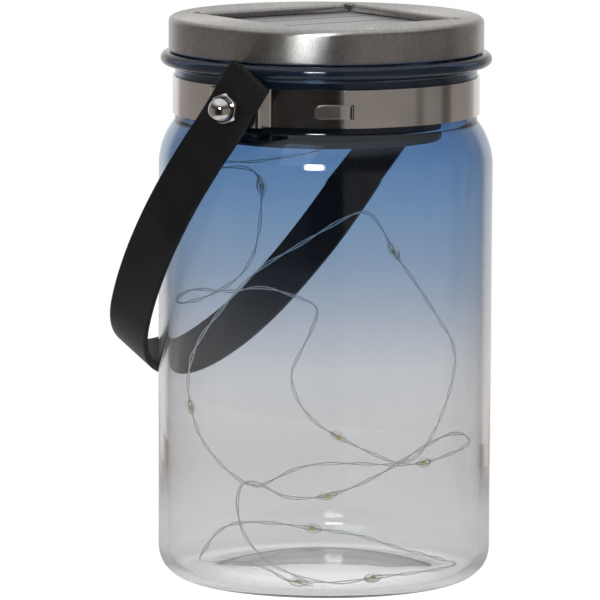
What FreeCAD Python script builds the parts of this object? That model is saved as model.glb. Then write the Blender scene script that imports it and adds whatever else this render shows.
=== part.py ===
import FreeCAD, Part
import math
import os
import re
import Sketcher

# Solar lantern made from a glass jar: a lid with a solar panel and its electronics, a steel band round
# the neck, a strap handle on two bolts, and a string of small lamps lying loosely in the jar.
# Millimetres. The origin is on the jar's axis, on the surface that it stands on, with Z up.
# The pivot bolts lie along X, and the handle hangs towards +Y and leans on the glass.

sizes = {
    # Glass jar
    "jar_radius": 50.0,
    "foot_taper": 0.2,
    "jar_wall": 2.8,
    "base_corner": 10.0,
    "base_thickness": 2.6,
    "floor_corner": 7.4,
    "push_up_height": 4.5,
    "foot_ring": 6.4,
    "shoulder_height": 125.0,
    "shoulder_step": 4.8,
    "shoulder_radius": 21.3,
    "neck_wall": 2.8,
    "neck_round": 2.0,
    "bead_rise": 32.0,
    "bead_step": 4.4,
    "bead_tube": 1.9,
    "bead_web": 2.0,
    "collar_step": 0.6,
    "rim_rise": 40.6,
    "rim_round": 0.9,
    # Steel band round the neck
    "band_rise": 21.2,
    "band_height": 11.2,
    "band_sheet": 0.6,
    "band_gap": 0.1,
    "lap_gap": 0.05,
    "lap_angle": 219.3,
    "lap_length": 9.5,
    "joggle_length": 4.0,
    "lap_round": 1.0,
    "slot_setback": 1.9,
    "slot_width": 1.1,
    "slot_play": 0.25,
    "tongue_height": 3.8,
    "tongue_length": 11.5,
    "tongue_round": 1.2,
    "pocket_half": 8.8,
    "pocket_slope": 0.6,
    "pocket_proud": 0.1,
    # Pivot bolts and cap nuts
    "pivot_radius": 3.0,
    "thread_radius": 2.5,
    "thread_length": 5.0,
    "thread_play": 0.1,
    "bolt_head_radius": 4.6,
    "bolt_head_height": 2.0,
    "band_hole_play": 0.05,
    "strap_hole_play": 0.08,
    "nut_gap": 0.15,
    "nut_flats": 8.4,
    "nut_hex_height": 3.6,
    "nut_collar": 0.8,
    "dome_radius": 3.7,
    # Strap handle
    "strap_width": 15.0,
    "strap_thickness": 2.0,
    "strap_gap": 0.3,
    "strap_tail": 12.4,
    "handle_reach": 101.3,
    "grip_radius": 43.8,
    "arm_flare": 6.8,
    "flare_start": 4.0,
    "flare_radius": 60.0,
    "lean_gap": 0.4,
    # Lid
    "lid_sheet": 0.7,
    "lid_clearance": 1.85,
    "lid_round": 1.8,
    "lid_hem": 1.5,
    "lid_seat_gap": 0.3,
    "window_bend": 1.4,
    "window_drop": 2.1,
    "window_notch": 0.8,
    "window_turn": 67.5,
    "gasket_thickness": 1.6,
    # Solar panel
    "panel_corner_room": 1.3,
    "panel_margin": 1.0,
    "panel_thickness": 2.4,
    "seal_thickness": 0.5,
    "seal_width": 1.3,
    "cell_thickness": 0.3,
    "cell_gap": 0.8,
    "cell_border": 0.6,
    # Insert under the lid
    "flange_thickness": 1.7,
    "flange_setback": 0.2,
    "plug_clearance": 0.8,
    "plug_depth": 8.0,
    "plug_taper": 5.6,
    "housing_drop": 32.6,
    "drum_radius": 31.5,
    "housing_wall": 1.6,
    "shelf_thickness": 1.8,
    "panel_play": 0.2,
    "boss_circle": 25.5,
    "boss_radius": 2.9,
    "cover_thickness": 2.2,
    "cover_bevel": 0.8,
    "cover_lip": 1.0,
    "cover_lip_height": 2.0,
    "cover_lip_play": 0.25,
    "screw_radius": 1.3,
    "screw_play": 0.05,
    "screw_reach": 9.0,
    "screw_head_radius": 2.3,
    "screw_head_height": 1.2,
    "screw_head_play": 0.3,
    # Cell and contacts
    "battery_radius": 5.25,
    "battery_length": 44.5,
    "battery_nub_radius": 1.9,
    "battery_nub_length": 0.9,
    "battery_offset": 8.0,
    "battery_rise": 12.8,
    "saddle_spacing": 22.0,
    "saddle_thickness": 1.6,
    "saddle_play": 0.25,
    "saddle_width": 12.0,
    "contact_sheet": 0.4,
    "contact_width": 7.0,
    "contact_height": 9.0,
    "spring_room": 3.0,
    "end_rib_thickness": 1.5,
    "end_rib_width": 9.0,
    # Circuit board and switch
    "board_length": 36.0,
    "board_width": 16.0,
    "board_thickness": 1.6,
    "board_offset": 12.5,
    "post_height": 2.4,
    "post_radius": 2.1,
    "post_spacing": 29.0,
    "board_screw_radius": 0.85,
    "board_screw_head_radius": 1.9,
    "board_screw_head_height": 1.2,
    "board_screw_depth": 2.0,
    "switch_offset": 3.0,
    "switch_length": 8.6,
    "switch_width": 4.4,
    "switch_gap": 0.2,
    "switch_travel": 2.0,
    "switch_play": 0.1,
    "knob_length": 3.4,
    "knob_width": 2.0,
    "knob_recess": 0.3,
    "slide_length": 4.0,
    "slide_width": 2.6,
    "slide_height": 1.0,
    "slide_floor": 0.6,
    "chip_length": 5.0,
    "chip_width": 4.0,
    "chip_height": 1.5,
    "chip_offset": 7.0,
    "chip_bevel": 0.4,
    "coil_radius": 2.6,
    "coil_height": 5.0,
    "coil_waist": 0.6,
    "coil_rim": 0.9,
    "coil_offset": 8.5,
    # Leads, grommet and light string
    "lead_radius": 0.6,
    "lead_spacing": 2.6,
    "lead_inset": 2.6,
    "lead_hole_play": 0.4,
    "lead_bend_share": 0.8,
    "grommet_radius": 2.8,
    "grommet_flange": 1.3,
    "grommet_flange_height": 1.1,
    "grommet_bore": 1.3,
    "wire_radius": 0.5,
    "lamp_length": 6.5,
    "lamp_radius": 1.55,
}

document = FreeCAD.newDocument("jar_lantern")
sheet = document.addObject("Spreadsheet::Sheet", "Sizes")
for row, (alias, amount) in enumerate(sizes.items(), start=1):
    sheet.set(f"A{row}", alias)
    sheet.set(f"B{row}", str(amount))
    sheet.setAlias(f"B{row}", alias)
document.recompute()

# Lengths that several pieces share, as formulas over the sheet's cells
foot_radius = "(jar_radius - foot_taper)"
push_up_radius = f"({foot_radius} - base_corner - foot_ring)"
neck_radius = "(jar_radius - shoulder_step)"
neck_bore = f"({neck_radius} - neck_wall)"
collar_radius = f"({neck_radius} - collar_step)"
bead_reach = f"({neck_radius} + bead_step)"
bead_height = "(shoulder_height + bead_rise)"
bead_top = f"({bead_height} + bead_tube)"
band_height = "(shoulder_height + band_rise)"
rim_height = "(shoulder_height + rim_rise)"

pocket_reach = f"(max({bead_reach}; jar_radius) + pocket_proud)"
strap_inside = f"({pocket_reach} + strap_gap)"
strap_outside = f"({strap_inside} + strap_thickness)"
nut_seat = f"({strap_outside} + nut_gap)"

flange_low = f"({rim_height} + gasket_thickness)"
lid_under = f"({flange_low} + flange_thickness)"
lid_top = f"({lid_under} + lid_sheet)"
lid_radius = f"({collar_radius} + lid_clearance + lid_sheet)"
lid_low = f"({bead_top} + lid_seat_gap)"
plug_radius = f"({neck_bore} - plug_clearance)"
panel_side = f"(sqrt(2) * ({plug_radius} - panel_corner_room))"
window_side = f"({panel_side} - 2 * panel_margin)"
window_low = f"({lid_top} - window_drop)"
panel_top = f"({window_low} - seal_thickness)"
shelf_top = f"({panel_top} - panel_thickness)"
shelf_low = f"({shelf_top} - shelf_thickness)"
cover_low = f"({rim_height} - housing_drop)"
cover_top = f"({cover_low} + cover_thickness)"
cavity_radius = "(drum_radius - housing_wall)"
battery_height = f"({cover_top} + battery_rise)"
board_low = f"({cover_top} + post_height)"
board_top = f"({board_low} + board_thickness)"
switch_low = f"({cover_top} + switch_gap)"
contact_plus_x = "(battery_length / 2)"
contact_minus_x = "(battery_length / 2 + spring_room)"

nodes = []
UP = FreeCAD.Rotation()
ALONG_X = FreeCAD.Rotation(FreeCAD.Vector(0, 1, 0), 90)
AGAINST_X = FreeCAD.Rotation(FreeCAD.Vector(0, 1, 0), -90)


def bound(text):
    """A formula over the sheet's cells, as FreeCAD writes it."""
    return re.sub(r"[a-z]\w*", lambda word: ("Sizes." if word[0] in sizes else "") + word[0], text)


def number(text):
    return float(sheet.evalExpression(bound(text)))


def bind(feature, **cells):
    for name, text in cells.items():
        feature.setExpression(name, bound(text))


def place(feature, x="0", y="0", z="0", turn=UP):
    feature.Placement = FreeCAD.Placement(FreeCAD.Vector(), turn)
    for axis, text in zip("xyz", (x, y, z)):
        feature.setExpression(f"Placement.Base.{axis}", bound(text))
    return feature


def node(feature, label):
    feature.Label = label
    nodes.append(feature)
    return feature


def lid_node(feature, label):
    """A piece of the lid, drawn square to X and Y and turned with the lid's window."""
    feature.Placement = FreeCAD.Placement(FreeCAD.Vector(), FreeCAD.Rotation(FreeCAD.Vector(0, 0, 1), 1))
    bind(feature, **{"Placement.Rotation.Angle": "window_turn"})
    return node(feature, label)


def cylinder(radius, height, x="0", y="0", z="0", turn=UP):
    feature = document.addObject("Part::Cylinder", "Cylinder")
    bind(feature, Radius=radius, Height=height)
    return place(feature, x, y, z, turn)


def cone(low_radius, high_radius, height, z):
    feature = document.addObject("Part::Cone", "Cone")
    bind(feature, Radius1=low_radius, Radius2=high_radius, Height=height)
    return place(feature, z=z)


def sphere(radius, z):
    feature = document.addObject("Part::Sphere", "Sphere")
    bind(feature, Radius=radius)
    return place(feature, z=z)


def block(length, width, height, x="0", y="0", z="0"):
    """A box whose footprint is centred on x and y, standing on z."""
    feature = document.addObject("Part::Box", "Block")
    bind(feature, Length=length, Width=width, Height=height)
    return place(feature, f"({x}) - ({length}) / 2", f"({y}) - ({width}) / 2", z)


def fuse(*features):
    joined = document.addObject("Part::MultiFuse", "Joined")
    joined.Shapes = list(features)
    return joined


def cut(base, *tools):
    remaining = document.addObject("Part::Cut", "Remaining")
    remaining.Base = base
    remaining.Tool = tools[0] if len(tools) == 1 else fuse(*tools)
    return remaining


def group(*features):
    together = document.addObject("Part::Compound", "Together")
    together.Links = list(features)
    return together


def mirrored(feature):
    copy = document.addObject("Part::Mirroring", "Mirrored")
    copy.Source = feature
    copy.Normal = (1, 0, 0)
    return copy


def arc_between(here, there, radius, way):
    """The short arc from here to there, turning left for way 1 and right for way -1."""
    chord = there - here
    left = FreeCAD.Vector(-chord.y, chord.x, 0).normalize()
    rise = math.sqrt(max(radius**2 - chord.Length**2 / 4, 0))
    crown = (here + there) / 2 + left * way * (rise - radius)
    return Part.Arc(here, crown, there)


def draw(sketch, outline):
    """A closed outline. A corner is (x, y), or (x, y, radius, way) where an arc leads to the next one."""
    points = [FreeCAD.Vector(number(corner[0]), number(corner[1]), 0) for corner in outline]
    ends = []
    for here, there, corner in zip(points, points[1:] + points[:1], outline):
        if len(corner) == 2:
            sketch.addGeometry(Part.LineSegment(here, there))
        else:
            sketch.addGeometry(arc_between(here, there, number(corner[2]), corner[3]))
        turned_back = len(corner) == 4 and corner[3] < 0
        ends.append((2, 1) if turned_back else (1, 2))
    for index, corner in enumerate(outline):
        following = (index + 1) % len(outline)
        start, end = ends[index]
        sketch.addConstraint(Sketcher.Constraint("Coincident", index, end, following, ends[following][0]))
        for kind, text in zip(("DistanceX", "DistanceY"), corner):
            limit(sketch, Sketcher.Constraint(kind, -1, 1, index, start, number(text)), text)
        if len(corner) == 4:
            limit(sketch, Sketcher.Constraint("Radius", index, number(corner[2])), corner[2])


def limit(sketch, constraint, text):
    index = sketch.addConstraint(constraint)
    sketch.setExpression(f"Constraints[{index}]", bound(text))


def sketched(body, plane, outline):
    sketch = body.newObject("Sketcher::SketchObject", "Outline")
    support = next(item for item in body.Origin.OriginFeatures if item.Role == plane)
    sketch.AttachmentSupport = [(support, "")]
    sketch.MapMode = "FlatFace"
    draw(sketch, outline)
    return sketch


def revolved(outline):
    """A body turned about Z from an outline of radius and height."""
    body = document.addObject("PartDesign::Body", "Turned")
    sketch = sketched(body, "XZ_Plane", outline)
    turned = body.newObject("PartDesign::Revolution", "Revolution")
    turned.Profile = sketch
    turned.ReferenceAxis = (sketch, ["V_Axis"])
    turned.Angle = 360
    document.recompute()
    return body


def padded(body, plane, outline, thickness):
    """An outline drawn on one of the body's planes and padded equally to both sides of it."""
    pad = body.newObject("PartDesign::Pad", "Pad")
    pad.Profile = sketched(body, plane, outline)
    pad.SideType = "Symmetric"
    bind(pad, Length=thickness)
    document.recompute()
    return pad


# Glass jar: push-up base, round shoulder, plain neck for the band, bead, and a collar inside the lid
neck_start = (
    "(shoulder_height + sqrt(shoulder_radius^2 - (shoulder_radius - shoulder_step)^2))"
)
inner_step = f"(jar_radius - jar_wall - {neck_bore})"
inner_shoulder = "(shoulder_radius - jar_wall)"
neck_bore_start = f"(shoulder_height + sqrt({inner_shoulder}^2 - ({inner_shoulder} - {inner_step})^2))"
bead_low = f"({bead_height} - bead_tube)"
push_up_curve = f"(({push_up_radius}^2 + push_up_height^2) / (2 * push_up_height))"
inner_foot = f"({foot_radius} - jar_wall)"

jar = revolved(
    [
        ("0", "push_up_height", push_up_curve, -1),
        (push_up_radius, "0"),
        (f"{foot_radius} - base_corner", "0", "base_corner", 1),
        (foot_radius, "base_corner"),
        ("jar_radius", "shoulder_height", "shoulder_radius", 1),
        (neck_radius, neck_start),
        (neck_radius, f"{bead_low} - bead_web", "bead_web", -1),
        (f"{neck_radius} + bead_web", bead_low),
        (f"{bead_reach} - bead_tube", bead_low, "bead_tube", 1),
        (bead_reach, bead_height, "bead_tube", 1),
        (f"{bead_reach} - bead_tube", bead_top),
        (collar_radius, bead_top),
        (collar_radius, f"{rim_height} - rim_round", "rim_round", 1),
        (f"{collar_radius} - rim_round", rim_height),
        (f"{neck_bore} + rim_round", rim_height, "rim_round", 1),
        (neck_bore, f"{rim_height} - rim_round"),
        (neck_bore, neck_bore_start, inner_shoulder, -1),
        ("jar_radius - jar_wall", "shoulder_height"),
        (inner_foot, "base_thickness + floor_corner", "floor_corner", -1),
        (f"{inner_foot} - floor_corner", "base_thickness"),
        (push_up_radius, "base_thickness", push_up_curve, 1),
        ("0", "base_thickness + push_up_height"),
    ]
)


def ring_edges(body, radius, height):
    """Names of the body's round edges of this radius at this height."""
    found = []
    for index, edge in enumerate(body.Shape.Edges, start=1):
        if edge.Degenerated or not isinstance(edge.Curve, Part.Circle):
            continue
        same_radius = abs(edge.Curve.Radius - radius) < 1e-4
        if same_radius and abs(edge.Curve.Center.z - height) < 1e-4:
            found.append(f"Edge{index}")
    return found


neck_corner = (jar.Tip, ring_edges(jar, number(neck_radius), number(neck_start)))
neck_fillet = jar.newObject("PartDesign::Fillet", "NeckFillet")
neck_fillet.Base = neck_corner
bind(neck_fillet, Radius="neck_round")
node(jar, "glass_jar")


# Neck band: one steel strip, its plan drawn as an inner and an outer line, with the ends lapped
def polar(radius, angle, height=0):
    turn = math.radians(angle)
    return FreeCAD.Vector(radius * math.cos(turn), radius * math.sin(turn), height)


def round_edge(radius, start, end):
    middle = polar(radius, (start + end) / 2)
    return Part.Arc(polar(radius, start), middle, polar(radius, end)).toShape()


def closed_face(outer, inner):
    """The face between two open lines of edges that run the same way."""
    first = Part.LineSegment(inner[0].firstVertex().Point, outer[0].firstVertex().Point).toShape()
    last = Part.LineSegment(inner[-1].lastVertex().Point, outer[-1].lastVertex().Point).toShape()
    loop = [first] + outer + [last] + inner
    return Part.Face(Part.Wire(Part.__sortEdges__(loop)))


def sector(inside, outside, start, end, low, high):
    """A piece of a ring between two radii, two angles and two heights."""
    face = closed_face([round_edge(outside, start, end)], [round_edge(inside, start, end)])
    face.translate(FreeCAD.Vector(0, 0, low))
    return face.extrude(FreeCAD.Vector(0, 0, high - low))


def along(length, radius):
    """The angle that a length takes on a circle, in degrees."""
    return math.degrees(length / radius)


band_inside = number(neck_radius) + sizes["band_gap"]
lap_inside = band_inside + sizes["band_sheet"] + sizes["lap_gap"]
lap_start = sizes["lap_angle"]
lap_end = lap_start + along(sizes["lap_length"], lap_inside)
joggle_end = lap_end + along(sizes["joggle_length"], lap_inside)
slot_start = lap_start + along(sizes["slot_setback"], lap_inside)
slot_end = slot_start + along(sizes["slot_width"], lap_inside)
riser_end = slot_end - along(sizes["slot_play"], lap_inside)
riser_start = riser_end - along(sizes["band_sheet"], lap_inside)


def band_line(offset):
    """The strip's plan line, this far out from its inner face, from the lapped end round to the tongue."""
    radius = band_inside + offset
    flat = number(pocket_reach) - sizes["band_sheet"] + offset
    half = sizes["pocket_half"] - sizes["band_sheet"] + offset
    foot = math.degrees(math.asin((half + sizes["pocket_slope"]) / radius))
    edges = [round_edge(lap_inside + offset, lap_start, lap_end)]
    joggle = Part.LineSegment(polar(lap_inside + offset, lap_end), polar(radius, joggle_end))
    edges.append(joggle.toShape())
    angle = joggle_end
    for side in (360, 540):
        edges.append(round_edge(radius, angle, side - foot))
        reach = math.hypot(flat, half)
        spread = math.degrees(math.atan2(half, flat))
        corners = [
            polar(radius, side - foot),
            polar(reach, side - spread),
            polar(reach, side + spread),
            polar(radius, side + foot),
        ]
        edges += [Part.LineSegment(a, b).toShape() for a, b in zip(corners, corners[1:])]
        angle = side + foot
    edges.append(round_edge(radius, angle, riser_start + 360))
    return edges


def edges_at(solid, angle, radius):
    """The solid's short radial edges at this angle, just outside this radius."""
    found = []
    for edge in solid.Edges:
        middle = edge.CenterOfMass
        turn = math.degrees(math.atan2(middle.y, middle.x)) % 360
        flat_edge = abs(edge.firstVertex().Point.z - edge.lastVertex().Point.z) < 1e-6
        short_edge = edge.Length < 2 * sizes["band_sheet"]
        out = math.hypot(middle.x, middle.y) > radius
        if flat_edge and short_edge and out and abs(turn - angle % 360) < 0.05:
            found.append(edge)
    return found


def band_shape():
    middle = number(band_height)
    low = middle - sizes["band_height"] / 2
    high = middle + sizes["band_height"] / 2
    face = closed_face(band_line(sizes["band_sheet"]), band_line(0))
    face.translate(FreeCAD.Vector(0, 0, low))
    strip = face.extrude(FreeCAD.Vector(0, 0, high - low))
    strip = strip.makeFillet(sizes["lap_round"], edges_at(strip, lap_start, lap_inside))
    tongue_low = middle - sizes["tongue_height"] / 2
    tongue_high = middle + sizes["tongue_height"] / 2
    lap_outside = lap_inside + sizes["band_sheet"]
    slot = sector(
        lap_inside - sizes["lap_gap"] / 2,
        lap_outside + sizes["lap_gap"],
        slot_start,
        slot_end,
        tongue_low - sizes["slot_play"],
        tongue_high + sizes["slot_play"],
    )
    tongue_inside = lap_outside + sizes["lap_gap"]
    tongue_outside = tongue_inside + sizes["band_sheet"]
    tongue_start = riser_end - along(sizes["tongue_length"], tongue_inside)
    tongue = sector(tongue_inside, tongue_outside, tongue_start, riser_end, tongue_low, tongue_high)
    tongue = tongue.makeFillet(sizes["tongue_round"], edges_at(tongue, tongue_start, tongue_inside))
    riser = sector(band_inside, tongue_outside, riser_start, riser_end, tongue_low, tongue_high)
    hole = Part.makeCylinder(
        sizes["pivot_radius"] + sizes["band_hole_play"],
        4 * number(pocket_reach),
        FreeCAD.Vector(-2 * number(pocket_reach), 0, middle),
        FreeCAD.Vector(1, 0, 0),
    )
    return strip.cut([slot, hole]).fuse([riser, tongue]).removeSplitter()


band = document.addObject("Part::Feature", "NeckBand")
band.Shape = band_shape()
node(band, "neck_band")

# Pivot bolts: a flat head inside the band's pocket, a plain pivot for the strap and a thread for the nut
head_outside = f"({pocket_reach} - band_sheet)"
pivot_length = f"({nut_seat} - {head_outside})"
bolt = fuse(
    cylinder("bolt_head_radius", "bolt_head_height"),
    cylinder("pivot_radius", pivot_length, z="bolt_head_height"),
    cylinder("thread_radius", "thread_length", z=f"bolt_head_height + {pivot_length}"),
)
place(bolt, f"-({head_outside} - bolt_head_height)", "0", band_height, AGAINST_X)
node(group(bolt, mirrored(bolt)), "pivot_bolts")

# Cap nuts: a six-sided foot with its outer corners turned off, a short collar and a dome
hexagon = document.addObject("Part::Prism", "Hexagon")
hexagon.Polygon = 6
bind(hexagon, Circumradius="nut_flats / 2 / cos(30)", Height="nut_hex_height")
corner_ball = sphere("sqrt((nut_flats / 2)^2 + nut_hex_height^2)", "0")
foot = document.addObject("Part::Common", "NutFoot")
foot.Base = hexagon
foot.Tool = corner_ball
nut = cut(
    fuse(
        foot,
        cylinder("dome_radius", "nut_collar", z="nut_hex_height"),
        sphere("dome_radius", "nut_hex_height + nut_collar"),
    ),
    cylinder("thread_radius + thread_play", "thread_length + thread_play"),
)
place(nut, f"-{nut_seat}", "0", band_height, AGAINST_X)
node(group(nut, mirrored(nut)), "cap_nuts")


# Strap handle: straight tabs at the bolts, a slight flare, bowed arms and a round grip, all tangent
def arm_joint():
    """Where the flare ends, and the centres and radii of the arm's arc and the grip's arc."""
    flare = math.radians(sizes["arm_flare"])
    tab = number(strap_inside) + sizes["strap_thickness"] / 2
    flare_end = FreeCAD.Vector(
        tab + sizes["flare_radius"] * (1 - math.cos(flare)),
        sizes["flare_start"] + sizes["flare_radius"] * math.sin(flare),
        0,
    )
    inward = FreeCAD.Vector(-math.cos(flare), math.sin(flare), 0)
    grip = FreeCAD.Vector(0, sizes["handle_reach"] - sizes["grip_radius"], 0)
    span = flare_end - grip
    arm_radius = (sizes["grip_radius"] ** 2 - span.dot(span)) / (
        2 * (span.dot(inward) + sizes["grip_radius"])
    )
    return tab, flare_end, flare_end + inward * arm_radius, arm_radius, grip


def circle_point(centre, radius, direction):
    return centre + FreeCAD.Vector(direction).normalize() * radius


def half_arch(offset):
    """The right half of the strap's side line, this far outside its middle, from tab end to grip."""
    tab, flare_end, arm_centre, arm_radius, grip = arm_joint()
    across = FreeCAD.Vector(1, 0, 0)
    flare_centre = FreeCAD.Vector(tab + sizes["flare_radius"], sizes["flare_start"], 0)
    flare_size = sizes["flare_radius"] - offset
    start = FreeCAD.Vector(tab + offset, -sizes["strap_tail"], 0)
    bend = FreeCAD.Vector(tab + offset, sizes["flare_start"], 0)
    flared = circle_point(flare_centre, flare_size, flare_end - flare_centre)
    half_flare = math.radians(sizes["arm_flare"] / 2)
    bend_crown = FreeCAD.Vector(-math.cos(half_flare), math.sin(half_flare), 0)
    arm_size = arm_radius + offset
    meeting = grip - arm_centre
    arm_end = circle_point(arm_centre, arm_size, meeting)
    out = (flare_end - arm_centre).normalize() + FreeCAD.Vector(meeting).normalize()
    grip_size = sizes["grip_radius"] + offset
    crown = FreeCAD.Vector(meeting).normalize() + FreeCAD.Vector(0, 1, 0)
    bottom = grip + FreeCAD.Vector(0, grip_size, 0)
    return [
        Part.LineSegment(start, bend).toShape(),
        Part.Arc(bend, circle_point(flare_centre, flare_size, bend_crown), flared).toShape(),
        Part.Arc(flared, circle_point(arm_centre, arm_size, out), arm_end).toShape(),
        Part.Arc(arm_end, circle_point(grip, grip_size, crown), bottom).toShape(),
    ], across


def strap_shape():
    half_thick = sizes["strap_thickness"] / 2
    outer, across = half_arch(half_thick)
    inner, across = half_arch(-half_thick)
    loop = []
    for side in (outer, inner):
        loop += side
        loop += [edge.mirror(FreeCAD.Vector(), across) for edge in side]
    for mirror_side in (1, -1):
        tips = [edges[0].firstVertex().Point for edges in (outer, inner)]
        for tip in tips:
            tip.x *= mirror_side
        loop.append(Part.LineSegment(*tips).toShape())
    face = Part.Face(Part.Wire(Part.__sortEdges__(loop)))
    face.translate(FreeCAD.Vector(0, 0, -sizes["strap_width"] / 2))
    strap = face.extrude(FreeCAD.Vector(0, 0, sizes["strap_width"]))
    hole = Part.makeCylinder(
        sizes["pivot_radius"] + sizes["strap_hole_play"],
        4 * number(strap_outside),
        FreeCAD.Vector(-2 * number(strap_outside), 0, 0),
        FreeCAD.Vector(1, 0, 0),
    )
    return strap.cut(hole)


def resting_tilt():
    """The angle from straight down at which the grip's lower edge leans on the glass."""
    reach = sizes["handle_reach"] - sizes["strap_thickness"] / 2
    half = sizes["strap_width"] / 2
    lean = sizes["jar_radius"] + sizes["lean_gap"]
    return math.degrees(math.asin(lean / math.hypot(reach, half)) + math.atan2(half, reach))


# The strap is drawn with its arms along Y and its width along Z, then turned to hang from the bolts
strap = document.addObject("Part::Feature", "HandleStrap")
strap.Shape = strap_shape()
strap.Placement = FreeCAD.Placement(
    FreeCAD.Vector(0, 0, number(band_height)),
    FreeCAD.Rotation(FreeCAD.Vector(1, 0, 0), resting_tilt() - 90),
)
node(strap, "handle_strap")

# Lid: a drawn steel cap with a rolled hem, and a square window whose four sides are folded down
hem_inside = f"({lid_radius} - lid_hem)"
lid_inside = f"({lid_radius} - lid_sheet)"
hem_middle = f"({lid_low} + lid_hem / 2)"
lid = revolved(
    [
        ("0", lid_under),
        (f"{lid_radius} - lid_round", lid_under, "lid_round - lid_sheet", -1),
        (lid_inside, f"{lid_top} - lid_round"),
        (lid_inside, f"{lid_low} + 1.5 * lid_hem"),
        (hem_inside, f"{lid_low} + lid_hem"),
        (hem_inside, hem_middle, "lid_hem / 2", 1),
        (f"{lid_radius} - lid_hem / 2", lid_low, "lid_hem / 2", 1),
        (lid_radius, hem_middle),
        (lid_radius, f"{lid_top} - lid_round", "lid_round", 1),
        (f"{lid_radius} - lid_round", lid_top),
        ("0", lid_top),
    ]
)
fold = f"({window_side} / 2 + window_bend)"
fold_inside = f"({window_side} / 2 + lid_sheet)"
window = lid.newObject("PartDesign::Pocket", "Window")
window.Profile = sketched(
    lid, "XY_Plane", [(f"-{fold}", f"-{fold}"), (fold, f"-{fold}"), (fold, fold), (f"-{fold}", fold)]
)
window.Type = "ThroughAll"
window.SideType = "Symmetric"
document.recompute()
folded_side = padded(
    lid,
    "XZ_Plane",
    [
        (fold, lid_top, "window_bend", 1),
        (f"{window_side} / 2", f"{lid_top} - window_bend"),
        (f"{window_side} / 2", window_low),
        (fold_inside, window_low),
        (fold_inside, f"{lid_top} - window_bend", "window_bend - lid_sheet", -1),
        (fold, lid_under),
    ],
    f"{window_side} - 2 * window_notch",
)
folded_sides = lid.newObject("PartDesign::PolarPattern", "FoldedSides")
folded_sides.Originals = [folded_side]
folded_sides.Axis = (folded_side.Profile[0], ["V_Axis"])
folded_sides.Angle = 360
folded_sides.Occurrences = 4
lid.Tip = folded_sides
document.recompute()
lid_node(lid, "lid_cap")

# Gasket on the jar's rim, under the insert's flange
gasket = cut(
    cylinder(collar_radius, "gasket_thickness", z=rim_height),
    cylinder(neck_bore, "gasket_thickness", z=rim_height),
)
lid_node(gasket, "lid_gasket")

# Solar panel: a board under the window's folded edges, its cell strips, and the frame seal round them
panel = block(panel_side, panel_side, "panel_thickness", z=shelf_top)
lid_node(group(panel), "solar_panel")
seal_inside = f"({panel_side} - 2 * seal_width)"
seal = cut(
    block(panel_side, panel_side, "seal_thickness", z=panel_top),
    block(seal_inside, seal_inside, "seal_thickness", z=panel_top),
)
lid_node(seal, "panel_seal")
cell_count = 4
cell_field = f"({seal_inside} - 2 * cell_border)"
cell_width = f"(({cell_field} - {cell_count - 1} * cell_gap) / {cell_count})"
cells = [
    block(
        cell_width,
        cell_field,
        "cell_thickness",
        x=f"({index} - {(cell_count - 1) / 2}) * ({cell_width} + cell_gap)",
        z=panel_top,
    )
    for index in range(cell_count)
]
lid_node(group(*cells), "solar_cells")

# Insert housing: flange, plug in the neck, taper and drum, with a pocket for the panel above a shelf,
# screw bosses, saddles and end ribs for the cell below it, and a hole for the panel's leads
plug_low = f"({rim_height} - plug_depth)"
drum_high = f"({plug_low} - plug_taper)"
board_y = "board_offset"
lead_y = f"({board_y} - board_width / 2 + lead_inset)"
boss_count = 3
first_boss = 30
boss_angles = [first_boss + index * 360 // boss_count for index in range(boss_count)]
boss_places = [(f"boss_circle * cos({angle})", f"boss_circle * sin({angle})") for angle in boss_angles]
shell = fuse(
    cylinder("drum_radius", f"{drum_high} - {cover_top}", z=cover_top),
    cone("drum_radius", plug_radius, "plug_taper", drum_high),
    cylinder(plug_radius, f"{flange_low} - {plug_low}", z=plug_low),
    cylinder(f"{collar_radius} - flange_setback", "flange_thickness", z=flange_low),
)
pocket_side = f"({window_side} + 2 * window_bend + 2 * panel_play)"
lead_hole_length = "(2 * lead_spacing + 2 * lead_hole_play)"
shell = cut(
    shell,
    cylinder(cavity_radius, f"{shelf_low} - {cover_top}", z=cover_top),
    block(pocket_side, pocket_side, f"{lid_under} - {shelf_top}", z=shelf_top),
    block(lead_hole_length, "2 * lead_radius + 2 * lead_hole_play", "shelf_thickness", y=lead_y, z=shelf_low),
)
bosses = [
    cylinder("boss_radius", f"{shelf_low} - {cover_top}", x, y, cover_top) for x, y in boss_places
]
boss_holes = [
    cylinder("screw_radius + screw_play", "screw_reach", x, y, cover_top) for x, y in boss_places
]
saddles = [
    block(
        "saddle_thickness",
        "saddle_width",
        f"{shelf_low} - {battery_height}",
        x=f"{side} * saddle_spacing / 2",
        y="-battery_offset",
        z=battery_height,
    )
    for side in (-1, 1)
]
saddle_seat = cylinder(
    "battery_radius + saddle_play",
    "2 * saddle_spacing",
    "-saddle_spacing",
    "-battery_offset",
    battery_height,
    ALONG_X,
)
rib_low = f"({battery_height} - contact_height / 2)"
rib_places = (
    f"({contact_plus_x} + contact_sheet + end_rib_thickness / 2)",
    f"(-({contact_minus_x} + end_rib_thickness / 2))",
)
end_ribs = [
    block(
        "end_rib_thickness", "end_rib_width", f"{shelf_low} - {rib_low}", x=x, y="-battery_offset", z=rib_low
    )
    for x in rib_places
]
housing = cut(fuse(shell, *bosses, cut(fuse(*saddles), saddle_seat), *end_ribs), *boss_holes)
lid_node(housing, "electronics_housing")

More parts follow.
